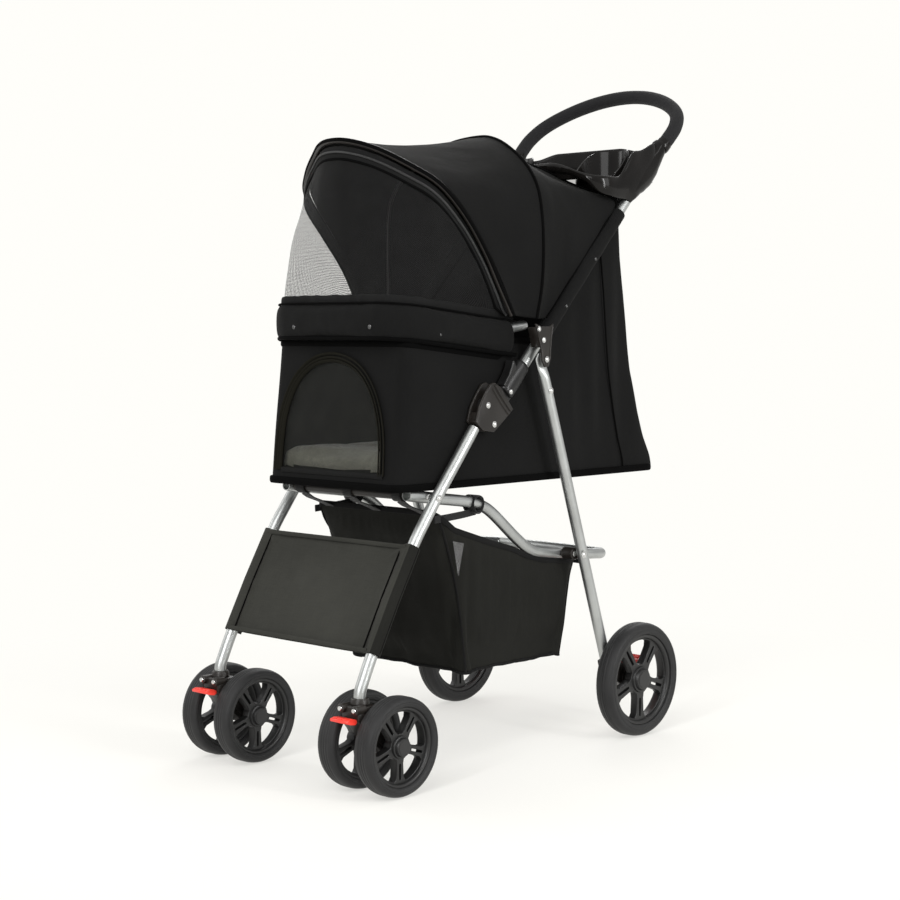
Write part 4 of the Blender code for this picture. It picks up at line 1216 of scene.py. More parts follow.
def make_console():
    """Tray: outer wall and rim, then a deck inside it and its underside, with two cup wells."""
    outline = rounded_box(0.1500, 0.1500, 0.3190, 0.038, 14)
    ring = evenly(outline + [outline[0]], 221)[:-1]
    middle = Vector((0.0, 0.2345, 0.0))
    shares = (0.14, 0.28, 0.44, 0.60, 0.76, 0.90, 0.985)
    rows = [[] for _ in range(14 + 2 * len(shares))]
    for p in ring:
        inward = (middle - p)
        inward = Vector((inward.x / 0.150, inward.y / 0.084, 0.0)).normalized()
        top, foot = tray_top(p.x, p.y), tray_foot(p.x, p.y)
        tall = top - foot
        inner = min(DECK_TOP, top - 0.0016)
        under = min(DECK_LOW, inner - 0.0028)
        spots = (
            (0.0085, under), (0.0062, min(under + 0.0010, foot + 0.0040)), (0.0046, foot + 0.0008),
            (0.0030, foot), (0.0010, foot + 0.0014), (-0.0008, foot + 0.30 * tall),
            (-0.0012, foot + 0.70 * tall), (-0.0004, top - 0.0030), (0.0006, top - 0.0008), (0.0022, top),
            (0.0038, top - 0.0008), (0.0046, max(top - 0.0040, inner)), (0.0064, inner), (0.0110, inner),
        )
        below = [(p + inward * 0.0085).lerp(middle, f) for f in reversed(shares)]
        above = [(p + inward * 0.0110).lerp(middle, f) for f in shares]
        n = len(shares)
        for row, spot, f in zip(rows[:n], below, reversed(shares)):
            row.append(Vector((spot.x, spot.y, under + (DECK_LOW - under) * ease(f, 0.0, 0.4))))
        for row, (step, z) in zip(rows[n:n + 14], spots):
            row.append(Vector((p.x, p.y, z)) + inward * step)
        for row, spot, f in zip(rows[n + 14:], above, shares):
            row.append(Vector((spot.x, spot.y, inner + (DECK_TOP - inner) * ease(f, 0.0, 0.4))))
    shell = closed_up(grid("shell", rows, wrap=True))
    x, y, bore = WELL
    for side, _tag in SIDES:
        hole = [Vector((side * x + u, y + v, 0.0)) for u, v in circle(bore - 0.0006, 72)]
        shell = combined(shell, plate_z("hole", hole, DECK_LOW - 0.010, DECK_TOP + 0.010), "DIFFERENCE")
    pieces = [shell]
    for side, _tag in SIDES:
        pieces.append(make_cup_well(side))
        pieces.append(make_socket_fin(side))
    pocket = [Vector((p.x, p.y, DECK_TOP + 0.0004)) for p in rounded_box(0.0300, 0.1850, 0.2850, 0.012, 6)]
    pieces.append(sweep("pocket", pocket, oval(0.0016, 0.0022, 0.8, 12), side=(0.0, 0.0, 1.0), closed=True))
    swapped(joined("handle_console", pieces), "gloss", "handle_frame", "console", sharp=50.0)


def make_cup_well(side):
    """Cup well with a thick wall, whose rim rises from the lip in front to the rear rim."""
    x, y, bore = WELL
    centre = Vector((side * x, y, 0.0))
    rows = [[] for _ in range(11)]
    for k in range(96):
        a = 2.0 * math.pi * k / 96
        u, v = math.cos(a), math.sin(a)
        lip = 0.8350 - 0.0095 * ease(side * u, -0.6, 0.6)
        top = lip + (0.8700 - lip) * ease(v, -0.75, 0.85)
        spots = ((0.0020, 0.8045), (bore - 0.0065, 0.8045), (bore - 0.0015, 0.8062), (bore + 0.0002, 0.8100),
                 (bore + 0.0014, top - 0.0012), (bore + 0.0008, top), (bore - 0.0012, top),
                 (bore - 0.0018, top - 0.0012), (bore - 0.0030, 0.8130), (bore - 0.0065, 0.8078),
                 (0.0020, 0.8070))
        for row, (r, z) in zip(rows, spots):
            row.append(centre + Vector((r * u, r * v, z)))
    return closed_up(grid("well", rows, wrap=True))


def make_socket_fin(side):
    """Solid side fin from the upper tube's socket up to the push loop's."""
    spine = (
        (0.2370, 0.7990, 0.0100, 0.0125), (0.2450, 0.8080, 0.0104, 0.0150), (0.2560, 0.8180, 0.0106, 0.0185),
        (0.2705, 0.8305, 0.0106, 0.0205), (0.2865, 0.8455, 0.0104, 0.0190), (0.3000, 0.8620, 0.0104, 0.0155),
        (0.3085, 0.8740, 0.0110, 0.0130), (0.3125, 0.8790, 0.0112, 0.0118),
    )
    run = evenly(spline([(side * (0.1395 + 0.0030 * k / 7), y, z) for k, (y, z, _a, _b) in enumerate(spine)],
                        6), 43)
    sizes = []
    for k in range(43):
        place = 7.0 * k / 42
        low = min(6, int(place))
        t = place - low
        soft = t * t * (3.0 - 2.0 * t)
        a = spine[low][2] + (spine[low + 1][2] - spine[low][2]) * soft
        b = spine[low][3] + (spine[low + 1][3] - spine[low][3]) * soft
        end = 0.90 + 0.10 * min(1.0, min(k, 42 - k) / 1.5)
        sizes.append((a * end, b * end))
    return sweep("fin", run, oval(1.0, 1.0, 0.85, 32), side=(1.0, 0.0, 0.0), sizes=sizes)


def plate_z(name, outline, z0, z1):
    """Closed slab: an (X, Y) outline between two heights."""
    bm = bmesh.new()
    low = [bm.verts.new((p.x, p.y, z0)) for p in outline]
    face = bm.faces.new(low)
    made = bmesh.ops.extrude_face_region(bm, geom=[face])
    moved = [v for v in made["geom"] if isinstance(v, bmesh.types.BMVert)]
    bmesh.ops.translate(bm, verts=moved, vec=(0.0, 0.0, z1 - z0))
    return from_bmesh(name, bm)


def make_grip():
    half = (
        (0.1437, 0.8757), (0.1460, 0.8900), (0.1450, 0.9080), (0.1340, 0.9270),
        (0.1120, 0.9430), (0.0800, 0.9570), (0.0420, 0.9665), (0.0, 0.9700),
    )
    lean = [Vector((x, 0.3122 + (z - 0.8738), z)) for x, z in half]
    full = lean + [Vector((-p.x, p.y, p.z)) for p in reversed(lean[:-1])]
    run = evenly(spline(full, 10), 150)
    sizes = []
    for k in range(150):
        near = min(k, 149 - k)
        swell = 1.0 + 0.012 * wander(run[k], 0.03, 2)
        end = 0.82 + 0.18 * min(1.0, near / 3.0)
        sizes.append((swell * end, swell * end))
    loop = sweep("push_loop_foam", run, circle(0.0106, 32), sizes=sizes)
    swapped(loop, "foam", "handle_frame", "handle_grip")
    for side, tag in SIDES:
        first = Vector((side * full[0].x, full[0].y, full[0].z))
        second = Vector((side * full[1].x, full[1].y, full[1].z))
        along = (second - first).normalized()
        spots = [first + along * s for s in (-0.0040, -0.0020, 0.0030, 0.0085, 0.0095)]
        ring = sweep("loop_collar_" + tag, spots, circle(0.0116, 32),
                     sizes=[(0.92, 0.92), (1.0, 1.0), (1.02, 1.02), (1.0, 1.0), (0.92, 0.92)])
        dressed(ring, "gloss", "handle_frame")


# -------------------------------------------------------------------- canopy
BOW = (
    (0.1500, -0.0350, 0.6200), (0.1435, -0.0570, 0.6650), (0.1410, -0.0800, 0.7050),
    (0.1400, -0.1165, 0.7500), (0.1310, -0.1580, 0.7920), (0.1000, -0.1845, 0.8180),
    (0.0610, -0.2060, 0.8400), (0.0290, -0.2235, 0.8510), (0.0, -0.2280, 0.8540),
)
RIB = (
    (0.1500, 0.0160, 0.6160), (0.1540, 0.0220, 0.6600), (0.1560, 0.0230, 0.7100),
    (0.1540, 0.0220, 0.7600), (0.1450, 0.0220, 0.8000), (0.1200, 0.0260, 0.8320),
    (0.0800, 0.0370, 0.8580), (0.0400, 0.0500, 0.8740), (0.0, 0.0620, 0.8800),
)
REAR_EDGE = tuple((0.1390,) + at(0.176 + 0.046 * k, -0.0100) for k in range(6)) + (
    (0.1320, 0.2030, 0.7960), (0.1130, 0.1840, 0.8030), (0.0850, 0.1660, 0.8160), (0.0450, 0.1480, 0.8380),
    (0.0, 0.1400, 0.8510),
)
HOOP = 121                      # points round each arch
SEAM_Y = 0.012                  # the cloth lies still near here


def hoop(half, inset=0.0, ahead=0.0, count=HOOP):
    """Full arch from one half, optionally pulled inward or carried forward."""
    left = []
    for x, y, z in half:
        place = Vector((x, y - ahead, z))
        reach = place - Vector((0.0, place.y, 0.70))
        left.append(place - reach.normalized() * inset)
    right = [Vector((-p.x, p.y, p.z)) for p in reversed(left[:-1])]
    return evenly(spline(left + right, 8), count)


def gore(a, b, rows, sag_top, sag_side):
    """Rows from one arch to the next, sagging between them."""
    made = []
    for j in range(rows + 1):
        t = j / rows
        row = []
        for p, q in zip(a, b):
            spot = p.lerp(q, t)
            crown = min(1.0, max(0.0, (spot.z - 0.70) / 0.14))
            depth = math.sin(math.pi * t)
            inward = Vector((-spot.x, 0.0, 0.0)).normalized() if abs(spot.x) > 1e-6 else Vector()
            spot.z -= sag_top * depth * crown
            spot += inward * sag_side * depth * (1.0 - crown)
            row.append(spot)
        made.append(row)
    return made


def piping(name, run, radius, look, body, closed=False, side=None):
    tube = sweep(name, run, circle(radius, 12), closed=closed, side=side)
    return dressed(tube, look, body)


def make_canopy():
    bow = hoop(BOW, 0.0, -0.0062)
    rib = hoop(RIB)
    rear = hoop(REAR_EDGE)

    rows = gore(bow, rib, 44, 0.0085, 0.0040)
    front = grid("hood_front", rows, flip=True)

    def fade(co):
        return min(1.0, abs(co.y - SEAM_Y) / 0.05) * min(1.0, abs(co.y + 0.19) / 0.05 + 0.15)

    ruffled(front, 0.0022, 0.060, 11, (1.0, 0.45, 1.0), fade)
    thick(subdivided(front), 0.0016, 0.0)
    swapped(front, "canopy_cloth", None, "canopy")
    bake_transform(front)

    rows = gore(rib, rear, 34, 0.0100, 0.0030)
    back = grid("hood_rear", rows, flip=True)

    def rear_fade(co):
        return min(1.0, abs(co.y - SEAM_Y) / 0.06)

    ruffled(back, 0.0024, 0.055, 17, (1.0, 1.0, 0.6), rear_fade)
    thick(subdivided(back), 0.0016, 0.0)
    dressed(back, "canopy_cloth", "handle_frame")

    seam = [p + Vector((0.0, 0.0, 0.0006)) for p in hoop(RIB, -0.0012)]
    piping("hood_rib_piping", seam, 0.0022, "trim_cloth", "handle_frame")
    rod = sweep("hood_rib_rod", hoop(RIB, 0.0062), circle(0.0028, 12))
    swapped(rod, "plastic", "handle_frame", "canopy_rib")
    edge = sweep("hood_rear_hem", rear, oval(0.0022, 0.0042, 0.9, 12))
    dressed(edge, "trim_cloth", "handle_frame")
    make_back_flap(rear)
    make_tube_sleeves()


def make_back_flap(rear):
    """Sheet that closes the back between the hood's rear edge and the cabin's rear rim."""
    top = [p for p in rear if p.z > 0.790]
    rows = []
    for j in range(25):
        t = j / 24.0
        row = []
        for k, p in enumerate(top):
            across = 1.0 - 2.0 * k / (len(top) - 1)
            foot = Vector((across * CABIN_X, rear_wall_y(0.766), 0.766))
            spot = p.lerp(foot, t)
            spot.y += 0.012 * math.sin(math.pi * t) * (1.0 - across * across)
            row.append(spot)
        rows.append(row)
    flap = grid("hood_back_flap", rows)
    ruffled(flap, 0.0016, 0.045, 19)
    thick(subdivided(flap), 0.0014, 0.0)
    dressed(flap, "canopy_cloth", "handle_frame")


def make_tube_sleeves():
    """Hood cloth sewn round the upper tubes, with press studs."""
    for side, tag in SIDES:
        rows = []
        for j in range(41):
            s = 0.158 + 0.243 * j / 40.0
            y, z = at(s, TUBE_OFFSET)
            row = []
            for k in range(33):
                a = 2.0 * math.pi * k / 32.0
                wide = 0.0112 + 0.0008 * wander((side * s * 40.0, math.cos(a), math.sin(a)), 1.4, 5)
                front = math.cos(a) * wide
                x = side * (FRAME_X + math.sin(a) * wide)
                row.append(Vector((x, y + TUBE_FRONT[0] * front, z + TUBE_FRONT[1] * front)))
            rows.append(row)
        sleeve = grid("tube_sleeve_" + tag, rows, flip=side > 0)
        thick(subdivided(sleeve), 0.0012, 0.0)
        dressed(sleeve, "canopy_cloth", "handle_frame")
        studs = []
        for s in (0.21, 0.305):
            y, z = at(s, TUBE_OFFSET)
            studs.append(rivet("stud", (side * (FRAME_X + 0.0118), y, z), side, 0.0018, 0.0008))
        dressed(joined("sleeve_studs_" + tag, studs), "stud", "handle_frame")


# ----------------------------------------------------- padded bar and dome net
def bar_height(y):
    return 0.6120 - (y - BAR_FRONT) * 0.105


def bar_path(grow=0.0, count=121, start=-0.0105):
    """Middle line of the padded bar, optionally pushed outward."""
    x = BAR_X + grow
    front = BAR_FRONT - grow
    turn = 0.046 + grow
    spots = [(x, start), (x, -0.0900), (x, -0.1400)]
    for k in range(0, 9):
        a = math.radians(90.0 * k / 8)
        spots.append((x - turn * (1.0 - math.cos(a)), front + turn - turn * math.sin(a)))
    spots += [(0.041, front), (0.0, front)]
    spots += [(-u, v) for u, v in reversed(spots[:-1])]
    run = [Vector((u, v, bar_height(v))) for u, v in spots]
    return evenly(spline(run, 6), count)


def bumper_ring(place, along, a, b):
    side = Vector((along.y, -along.x, 0.0)).normalized()
    return [place + side * u * a + Vector((0.0, 0.0, v * b)) for u, v in oval(0.0122, 0.0258, 0.62, 32)]


STUD = (
    (0.0, 0.0010), (0.0030, 0.0010), (0.0032, -0.0002), (0.0024, -0.0010), (0.0014, -0.0014), (0.0, -0.0015),
)


def make_padded_bar():
    path = bar_path(count=141)
    bm = bmesh.new()
    rings = []
    for k, place in enumerate(path):
        along = (path[min(k + 1, 140)] - path[max(k - 1, 0)]).normalized()
        near = min(k, 140 - k)
        end = (0.45, 0.76, 0.90, 0.97)[near] if near < 4 else 1.0
        rings.append([bm.verts.new(p) for p in bumper_ring(place, along, 0.92 * end, 0.95 * end)])
    for low, high in zip(rings, rings[1:]):
        for k in range(32):
            bm.faces.new((low[k], low[(k + 1) % 32], high[(k + 1) % 32], high[k]))
    bm.faces.new(rings[0])
    bm.faces.new(rings[-1])
    pad = from_bmesh("front_pad", bm)
    remeshed(pad, 0.0045)
    pinned_cloth(pad, lambda co: 0.0, 16, pressure=4.0, gravity=0.0, bend=0.5, stiff=12.0, reach=0.0024)
    ruffled(pad, 0.0007, 0.020, 23, (1.0, 1.0, 0.5))
    subdivided(pad)
    swapped(pad, "pad_cloth", "front_bar_body", "front_bar")

    low_seam = [p + Vector((0.0, 0.0, -0.0236)) for p in bar_path(0.0066, 161)]
    piping("pad_low_piping", low_seam, 0.0030, "trim_cloth", "front_bar_body")
    top_seam = [p + Vector((0.0, 0.0, 0.0234)) for p in bar_path(0.0068, 161)]
    piping("pad_top_piping", top_seam, 0.0014, "trim_cloth", "front_bar_body")
    studs = []
    for x in (-0.0652, 0.0832):
        studs.append(turned("stud", STUD, (x, -0.2442, 0.6040), 24, closed=False, axis="Y"))
    for side, _tag in SIDES:
        studs.append(rivet("stud", (side * 0.1392, -0.1676, 0.5938), side, 0.0022, 0.0010))
    dressed(joined("pad_studs", studs), "stud", "front_bar_body")


def dome_rows(rows=40):
    """Net surface from the canopy bow down to the padded bar."""
    top = hoop(BOW, 0.0075)
    low = evenly([p + Vector((0.0, 0.0, 0.0275)) for p in bar_path(0.0, HOOP, -0.0340)], HOOP)
    made = []
    for j in range(rows + 1):
        t = j / rows
        row = []
        for k, (p, q) in enumerate(zip(top, low)):
            spot = p.lerp(q, t)
            full = math.sin(math.pi * k / (HOOP - 1)) * math.sin(math.pi * t)
            outward = Vector((spot.x, min(0.0, spot.y + 0.06), 0.0))
            if outward.length > 1e-6:
                spot += outward.normalized() * 0.0080 * full
            row.append(spot)
        made.append(row)
    return made


def outward_of(p):
    """Direction away from the inside of the dome."""
    return Vector((p.x, p.y + 0.06, 0.35 * (p.z - 0.70))).normalized()


def band_rows(rows, start, stop, steps, lift):
    """Strip of the dome between two distances below the bow."""
    columns = [[row[k] for row in rows] for k in range(len(rows[0]))]
    made = [[] for _ in range(steps + 1)]
    for column in columns:
        length = running_length(column)
        total = length[-1]
        for j in range(steps + 1):
            share = j / steps
            want = min(start + (stop - start) * share, total * 0.60)
            k = max(i for i in range(len(length)) if length[i] <= want + 1e-9)
            k = min(k, len(column) - 2)
            t = (want - length[k]) / max(length[k + 1] - length[k], 1e-9)
            spot = column[k].lerp(column[k + 1], t)
            spot += outward_of(spot) * lift * math.sin(math.pi * share)
            made[j].append(spot)
    return made


RIM_BAND = 0.0175


def make_dome():
    rows = dome_rows()
    net_sheet = grid("dome_net", rows)
    ruffled(net_sheet, 0.0018, 0.050, 31, fade=lambda co: min(1.0, max(0.0, (co.z - 0.655) / 0.03)))
    swapped(net_sheet, "hood_net", "canopy_bow_body", "front_mesh")
    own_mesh(net_sheet)

    band = grid("hood_rim_band", band_rows(rows, 0.0, RIM_BAND, 6, 0.0022), flip=True)
    thick(subdivided(band), 0.0016, 1.0)
    dressed(band, "band_cloth", "canopy_bow_body")
    teeth = band_rows(rows, RIM_BAND * 0.50, RIM_BAND * 0.50, 1, 0.0)[0]
    lifted = [p + outward_of(p) * 0.0030 for p in teeth]
    zip_line = sweep("hood_zip", lifted, oval(0.0016, 0.0016, 0.8, 10))
    dressed(zip_line, "zip", "canopy_bow_body")
    outer = [p + outward_of(p) * 0.0024 for p in hoop(BOW, -0.0004)]
    piping("hood_rim_piping", outer, 0.0028, "trim_cloth", "canopy_bow_body")
    inner = band_rows(rows, RIM_BAND, RIM_BAND, 1, 0.0)[0]
    piping("hood_net_piping", inner, 0.0019, "trim_cloth", "canopy_bow_body")
    rod = sweep("hood_bow_rod", hoop(BOW), circle(0.0040, 16))
    swapped(rod, "plastic", "canopy_bow_body", "canopy_bow")

    low = [p + Vector((0.0, 0.0, 0.0272)) for p in bar_path(0.0006, 181)]
    hem = sweep("dome_hem", low, oval(0.0078, 0.0030, 0.8, 16), side=(0.0, 0.0, 1.0))
    ruffled(hem, 0.0013, 0.014, 37, (1.0, 1.0, 0.4))
    dressed(hem, "band_cloth", "front_bar_body")


# --------------------------------------------------------------------- cabin
def cabin_rim(y):
    """Rim height: low under the front bar, rising along the upper tubes."""
    rise = 0.5530 + (y - 0.0030) * 0.72 / 0.694 - 0.004
    if y > -0.040:
        rise = max(rise, 0.5560 + 0.0290 * min(1.0, (y + 0.040) / 0.016))
    return min(max(bar_height(y) - 0.0292, rise), 0.7700)


REAR_WALL = (
    (0.3900, 0.3260), (0.4080, 0.3220), (0.4400, 0.3050), (0.4800, 0.2900), (0.5390, 0.2720),
    (0.5860, 0.2640), (0.6560, 0.2540), (0.7090, 0.2440), (0.7550, 0.2390), (0.8000, 0.2350),
)


def rear_wall_y(z):
    """Y of the cabin's rear wall at a height: nearly upright, then flared at its foot."""
    return read_off(REAR_WALL, z)


def cabin_outline(count=240):
    front = rounded_box(CABIN_X, CABIN_FRONT, CABIN_REAR, 0.014, 8)[18:]
    rear = rounded_box(CABIN_X, CABIN_FRONT, CABIN_REAR, 0.016, 8)[:18]
    flat = rear[9:] + front + rear[:9]
    ring = evenly(flat + [flat[0]], count + 1)
    return ring[:-1]


def cabin_spot(p, t):
    place = p.y
    if p.y < -0.15:
        place = p.y + 0.020 * t * min(1.0, (-0.15 - p.y) / 0.06)
    height = CABIN_BASE + t * (cabin_rim(place) - CABIN_BASE)
    if p.y > 0.05:
        share = (p.y - 0.05) / (CABIN_REAR - 0.05)
        for _turn in range(3):
            place = 0.05 + share * (rear_wall_y(height) - 0.05)
            height = CABIN_BASE + t * (cabin_rim(place) - CABIN_BASE)
    return Vector((p.x, place, height))


WINDOW = (
    (-0.1020, 0.4060), (-0.1020, 0.4480), (-0.0970, 0.4880), (-0.0800, 0.5250), (-0.0520, 0.5490),
    (-0.0200, 0.5575), (0.0130, 0.5540), (0.0420, 0.5400), (0.0650, 0.5150), (0.0800, 0.4840),
    (0.0880, 0.4500), (0.0910, 0.4060),
)
WINDOW_EDGE = evenly(spline([(x, 0.0, z) for x, z in WINDOW], 10), 161)


def window_edge(count, grow=0.0):
    """(X, Z) points up one side of the arched door, over it and down the other."""
    spots = evenly(WINDOW_EDGE, count)
    edge = []
    for k, p in enumerate(spots):
        along = (spots[min(k + 1, count - 1)] - spots[max(k - 1, 0)]).normalized()
        edge.append((p.x - along.z * grow, p.z + along.x * grow))
    return edge


def inside_window(x, z, grow=0.0):
    if z < 0.4060 - grow:
        return False
    inside = False
    spots = [(p.x * (1.0 + grow / 0.095), 0.4060 + (p.z - 0.4060) * (1.0 + grow / 0.155))
             for p in WINDOW_EDGE[::4]]
    z = max(z, 0.4062)
    for (xa, za), (xb, zb) in zip(spots, spots[1:] + spots[:1]):
        if (za > z) != (zb > z) and x < xa + (xb - xa) * (z - za) / (zb - za):
            inside = not inside
    return inside


def front_wall_y(z):
    """Y of the cabin's front wall at a height."""
    t = (z - CABIN_BASE) / (0.5830 - CABIN_BASE)
    return CABIN_FRONT + 0.020 * t


def make_cabin():
    outline = cabin_outline()
    shares = [j / 56.0 for j in range(57)]
    rows = [[cabin_spot(p, t) for p in outline] for t in shares]
    wall = grid("cabin_wall", rows, wrap=True)
    bm = bmesh.new()
    bm.from_mesh(wall.data)
    doomed = []
    for face in bm.faces:
        middle = face.calc_center_median()
        if middle.y < -0.19 and inside_window(middle.x, middle.z):
            doomed.append(face)
    bmesh.ops.delete(bm, geom=doomed, context="FACES")
    rim = window_edge(161)
    for v in bm.verts:
        if v.is_boundary and v.co.y < -0.19 and v.co.z < 0.5775 and v.co.z > 0.395:
            best = min(rim, key=lambda p: (p[0] - v.co.x) ** 2 + (p[1] - v.co.z) ** 2)
            if v.co.z > 0.409:
                v.co.x, v.co.z = best
            else:
                v.co.z = 0.4060
                v.co.x = max(WINDOW[0][0], min(WINDOW[-1][0], v.co.x))
            v.co.y = front_wall_y(v.co.z)
    bmesh.ops.recalc_face_normals(bm, faces=bm.faces)
    bm.to_mesh(wall.data)
    bm.free()

    def hold(co):
        if co.z < CABIN_BASE + 0.006 or co.z > cabin_rim(co.y) - 0.006:
            return 1.0
        if co.y < -0.19 and inside_window(co.x, co.z, 0.010):
            return 1.0
        if abs(co.x) < 0.012 and co.y > 0.15:
            return 0.6
        return 0.0

    pinned_cloth(wall, hold, 18, pressure=1.6, gravity=1.0, bend=4.0, stiff=25.0, shrink=-0.015, reach=0.0065)

    def fade(co):
        up = (co.z - CABIN_BASE) / max(cabin_rim(co.y) - CABIN_BASE, 0.01)
        near_window = 0.0 if co.y < -0.19 and inside_window(co.x, co.z, 0.012) else 1.0
        rear = 1.0 if co.y > 0.12 else 0.45
        return math.sin(math.pi * min(1.0, max(0.0, up))) * near_window * rear

    ruffled(wall, 0.0030, 0.050, 41, (1.0, 1.0, 0.22), fade)
    for v in wall.data.vertices:
        if abs(v.co.x) > 0.115 and v.co.y > 0.10:
            depth = 0.5 - 0.5 * math.cos((v.co.y - 0.165) / 0.026 * math.pi + 3.0 * (v.co.z - 0.55))
            v.co.x -= math.copysign(0.0042, v.co.x) * depth * fade(v.co) * min(1.0, (v.co.y - 0.10) / 0.06)
    thick(wall, 0.0022, -1.0)
    subdivided(wall)
    swapped(wall, "cabin_cloth", "seat_frame", "cabin")
    folds_down(wall)
    make_cabin_trim(outline)
    make_cabin_floor(outline)


def make_cabin_trim(outline):
    base = [Vector((p.x * 1.004, p.y * 1.0, CABIN_BASE - 0.0005)) for p in outline]
    binding = sweep("cabin_binding", base, oval(0.0052, 0.0034, 0.75, 16), side=(0.0, 0.0, 1.0), closed=True)
    dressed(binding, "trim_cloth", "seat_frame")
    rim = [cabin_spot(p, 1.0) for p in outline]
    hem = sweep("cabin_rim_hem", rim, oval(0.0042, 0.0020, 0.9, 12), side=(0.0, 0.0, 1.0), closed=True)
    dressed(hem, "trim_cloth", "seat_frame")
    folds_down(hem)
    for side, tag in SIDES:
        spots = [cabin_spot(Vector((side * (CABIN_X + 0.0004), 0.236, 0.0)), t / 24.0) for t in range(25)]
        run = [p + Vector((side * 0.0016, 0.0, 0.0)) for p in spots]
        seam = piping("cabin_side_seam_" + tag, run, 0.0013, "trim_cloth", "seat_frame")
        folds_down(seam)


def make_cabin_floor(outline):
    rows = []
    middle = CABIN_REAR / 2.0 + CABIN_FRONT / 2.0
    for j in range(9):
        share = max(0.01, 1.0 - j / 8.0)
        rows.append([Vector((p.x * share, middle + (p.y - middle) * share, CABIN_BASE + 0.0008))
                     for p in outline])
    under = grid("cabin_underside", rows, wrap=True)
    thick(under, 0.0012, 0.0)
    dressed(under, "cabin_cloth", "seat_frame")


def make_door():
    rows = []
    for j in range(33):
        z = 0.4020 + 0.172 * j / 32.0
        row = []
        for k in range(33):
            x = -0.1100 + 0.210 * k / 32.0
            full = math.sin(math.pi * k / 32.0) * math.sin(math.pi * j / 32.0)
            row.append(Vector((x, front_wall_y(z) + 0.0030 - 0.0035 * full, z)))
        rows.append(row)
    sheet = grid("door_net_sheet", rows)
    bm = bmesh.new()
    bm.from_mesh(sheet.data)
    outside = []
    for face in bm.faces:
        middle = face.calc_center_median()
        if not inside_window(middle.x, middle.z, 0.005):
            outside.append(face)
    bmesh.ops.delete(bm, geom=outside, context="FACES")
    bm.to_mesh(sheet.data)
    bm.free()
    ruffled(sheet, 0.0009, 0.030, 43)
    swapped(sheet, "door_net", "seat_frame", "door_mesh")
    folds_down(sheet)

    for name, grow, wide in (
        ("door_zip", 0.0045, 0.0028), ("door_zip_tape", 0.0098, 0.0030), ("door_binding", 0.0004, 0.0026),
    ):
        spots = [Vector((x, front_wall_y(z) - 0.0012, z)) for x, z in window_edge(97, grow)]
        strip = sweep(name, spots, oval(wide, 0.0011, 0.8, 12))
        dressed(strip, "door_tape", "seat_frame")
        folds_down(strip)
    sill = [Vector((-0.100 + 0.200 * k / 24.0, front_wall_y(0.4060) - 0.0010, 0.4060)) for k in range(25)]
    strip = sweep("door_sill", sill, oval(0.0034, 0.0014, 0.8, 12), side=(0.0, 0.0, 1.0))
    dressed(strip, "band_cloth", "seat_frame")


def make_cushion():
    outline = rounded_box(0.1225, -0.2310, 0.3010, 0.013, 8)
    ring = evenly(outline + [outline[0]], 121)[:-1]
    levels = (
        (0.3986, 0.93), (0.4010, 0.980), (0.4070, 0.992), (0.4200, 0.992), (0.4270, 0.978), (0.4310, 0.93),
    )
    bm = bmesh.new()
    loops = []
    for z, f in levels:
        loops.append([bm.verts.new((p.x * f, 0.038 + (p.y - 0.038) * f, z)) for p in ring])
    for low, high in zip(loops, loops[1:]):
        for k in range(120):
            n = (k + 1) % 120
            bm.faces.new((low[k], low[n], high[n], high[k]))
    bm.faces.new(loops[0])
    bm.faces.new(loops[-1])
    pad = from_bmesh("floor_cushion", bm)
    remeshed(pad, 0.0060)

    def hold(co):
        return 1.0 if co.z < 0.4000 else 0.0

    pinned_cloth(pad, hold, 18, pressure=3.2, gravity=0.0, bend=0.6, stiff=10.0, reach=0.0070)
    for v in pad.data.vertices:
        if v.co.z > 0.418:
            for row in (-0.125, -0.015, 0.095, 0.205):
                v.co.z -= 0.0060 * math.exp(-((v.co.y - row) / 0.0075) ** 2)
        v.co.z = max(v.co.z, 0.3984)
    ruffled(pad, 0.0013, 0.035, 47)
    subdivided(pad)
    swapped(pad, "fleece", "seat_frame", "floor_pad")
    pad.data.materials.append(LOOKS["trim_cloth"])
    for face in pad.data.polygons:
        face.material_index = 1 if face.center.z < 0.4105 else 0


# -------------------------------------------------------------- basket, panel
BASKET_RIM = (
    (-0.158, 0.3540), (-0.120, 0.3270), (-0.050, 0.3050), (0.000, 0.2910),
    (0.030, 0.2790), (0.066, 0.2695), (0.150, 0.2610),
)
BASKET_FLOOR = 0.1270
BASKET_HALF = (0.1180, 0.1130)  # half the width and half the length of its foot
BASKET_MID_Y = 0.0140


def basket_rim(y):
    """Height of the bag's rim at a Y."""
    return read_off(BASKET_RIM, y)


def basket_spot(p, t):
    """Point on the bag wall: the front and rear flare out under the rim."""
    front = -0.0990 - 0.0220 * t - 0.0350 * t ** 5
    rear = 0.1270 + 0.0050 * t + 0.0150 * t ** 5
    x = p.x * (BASKET_HALF[0] + 0.003 * t)
    y = front + (rear - front) * (p.y + 1.0) / 2.0
    return Vector((x, y, BASKET_FLOOR + t * (basket_rim(y) - BASKET_FLOOR)))


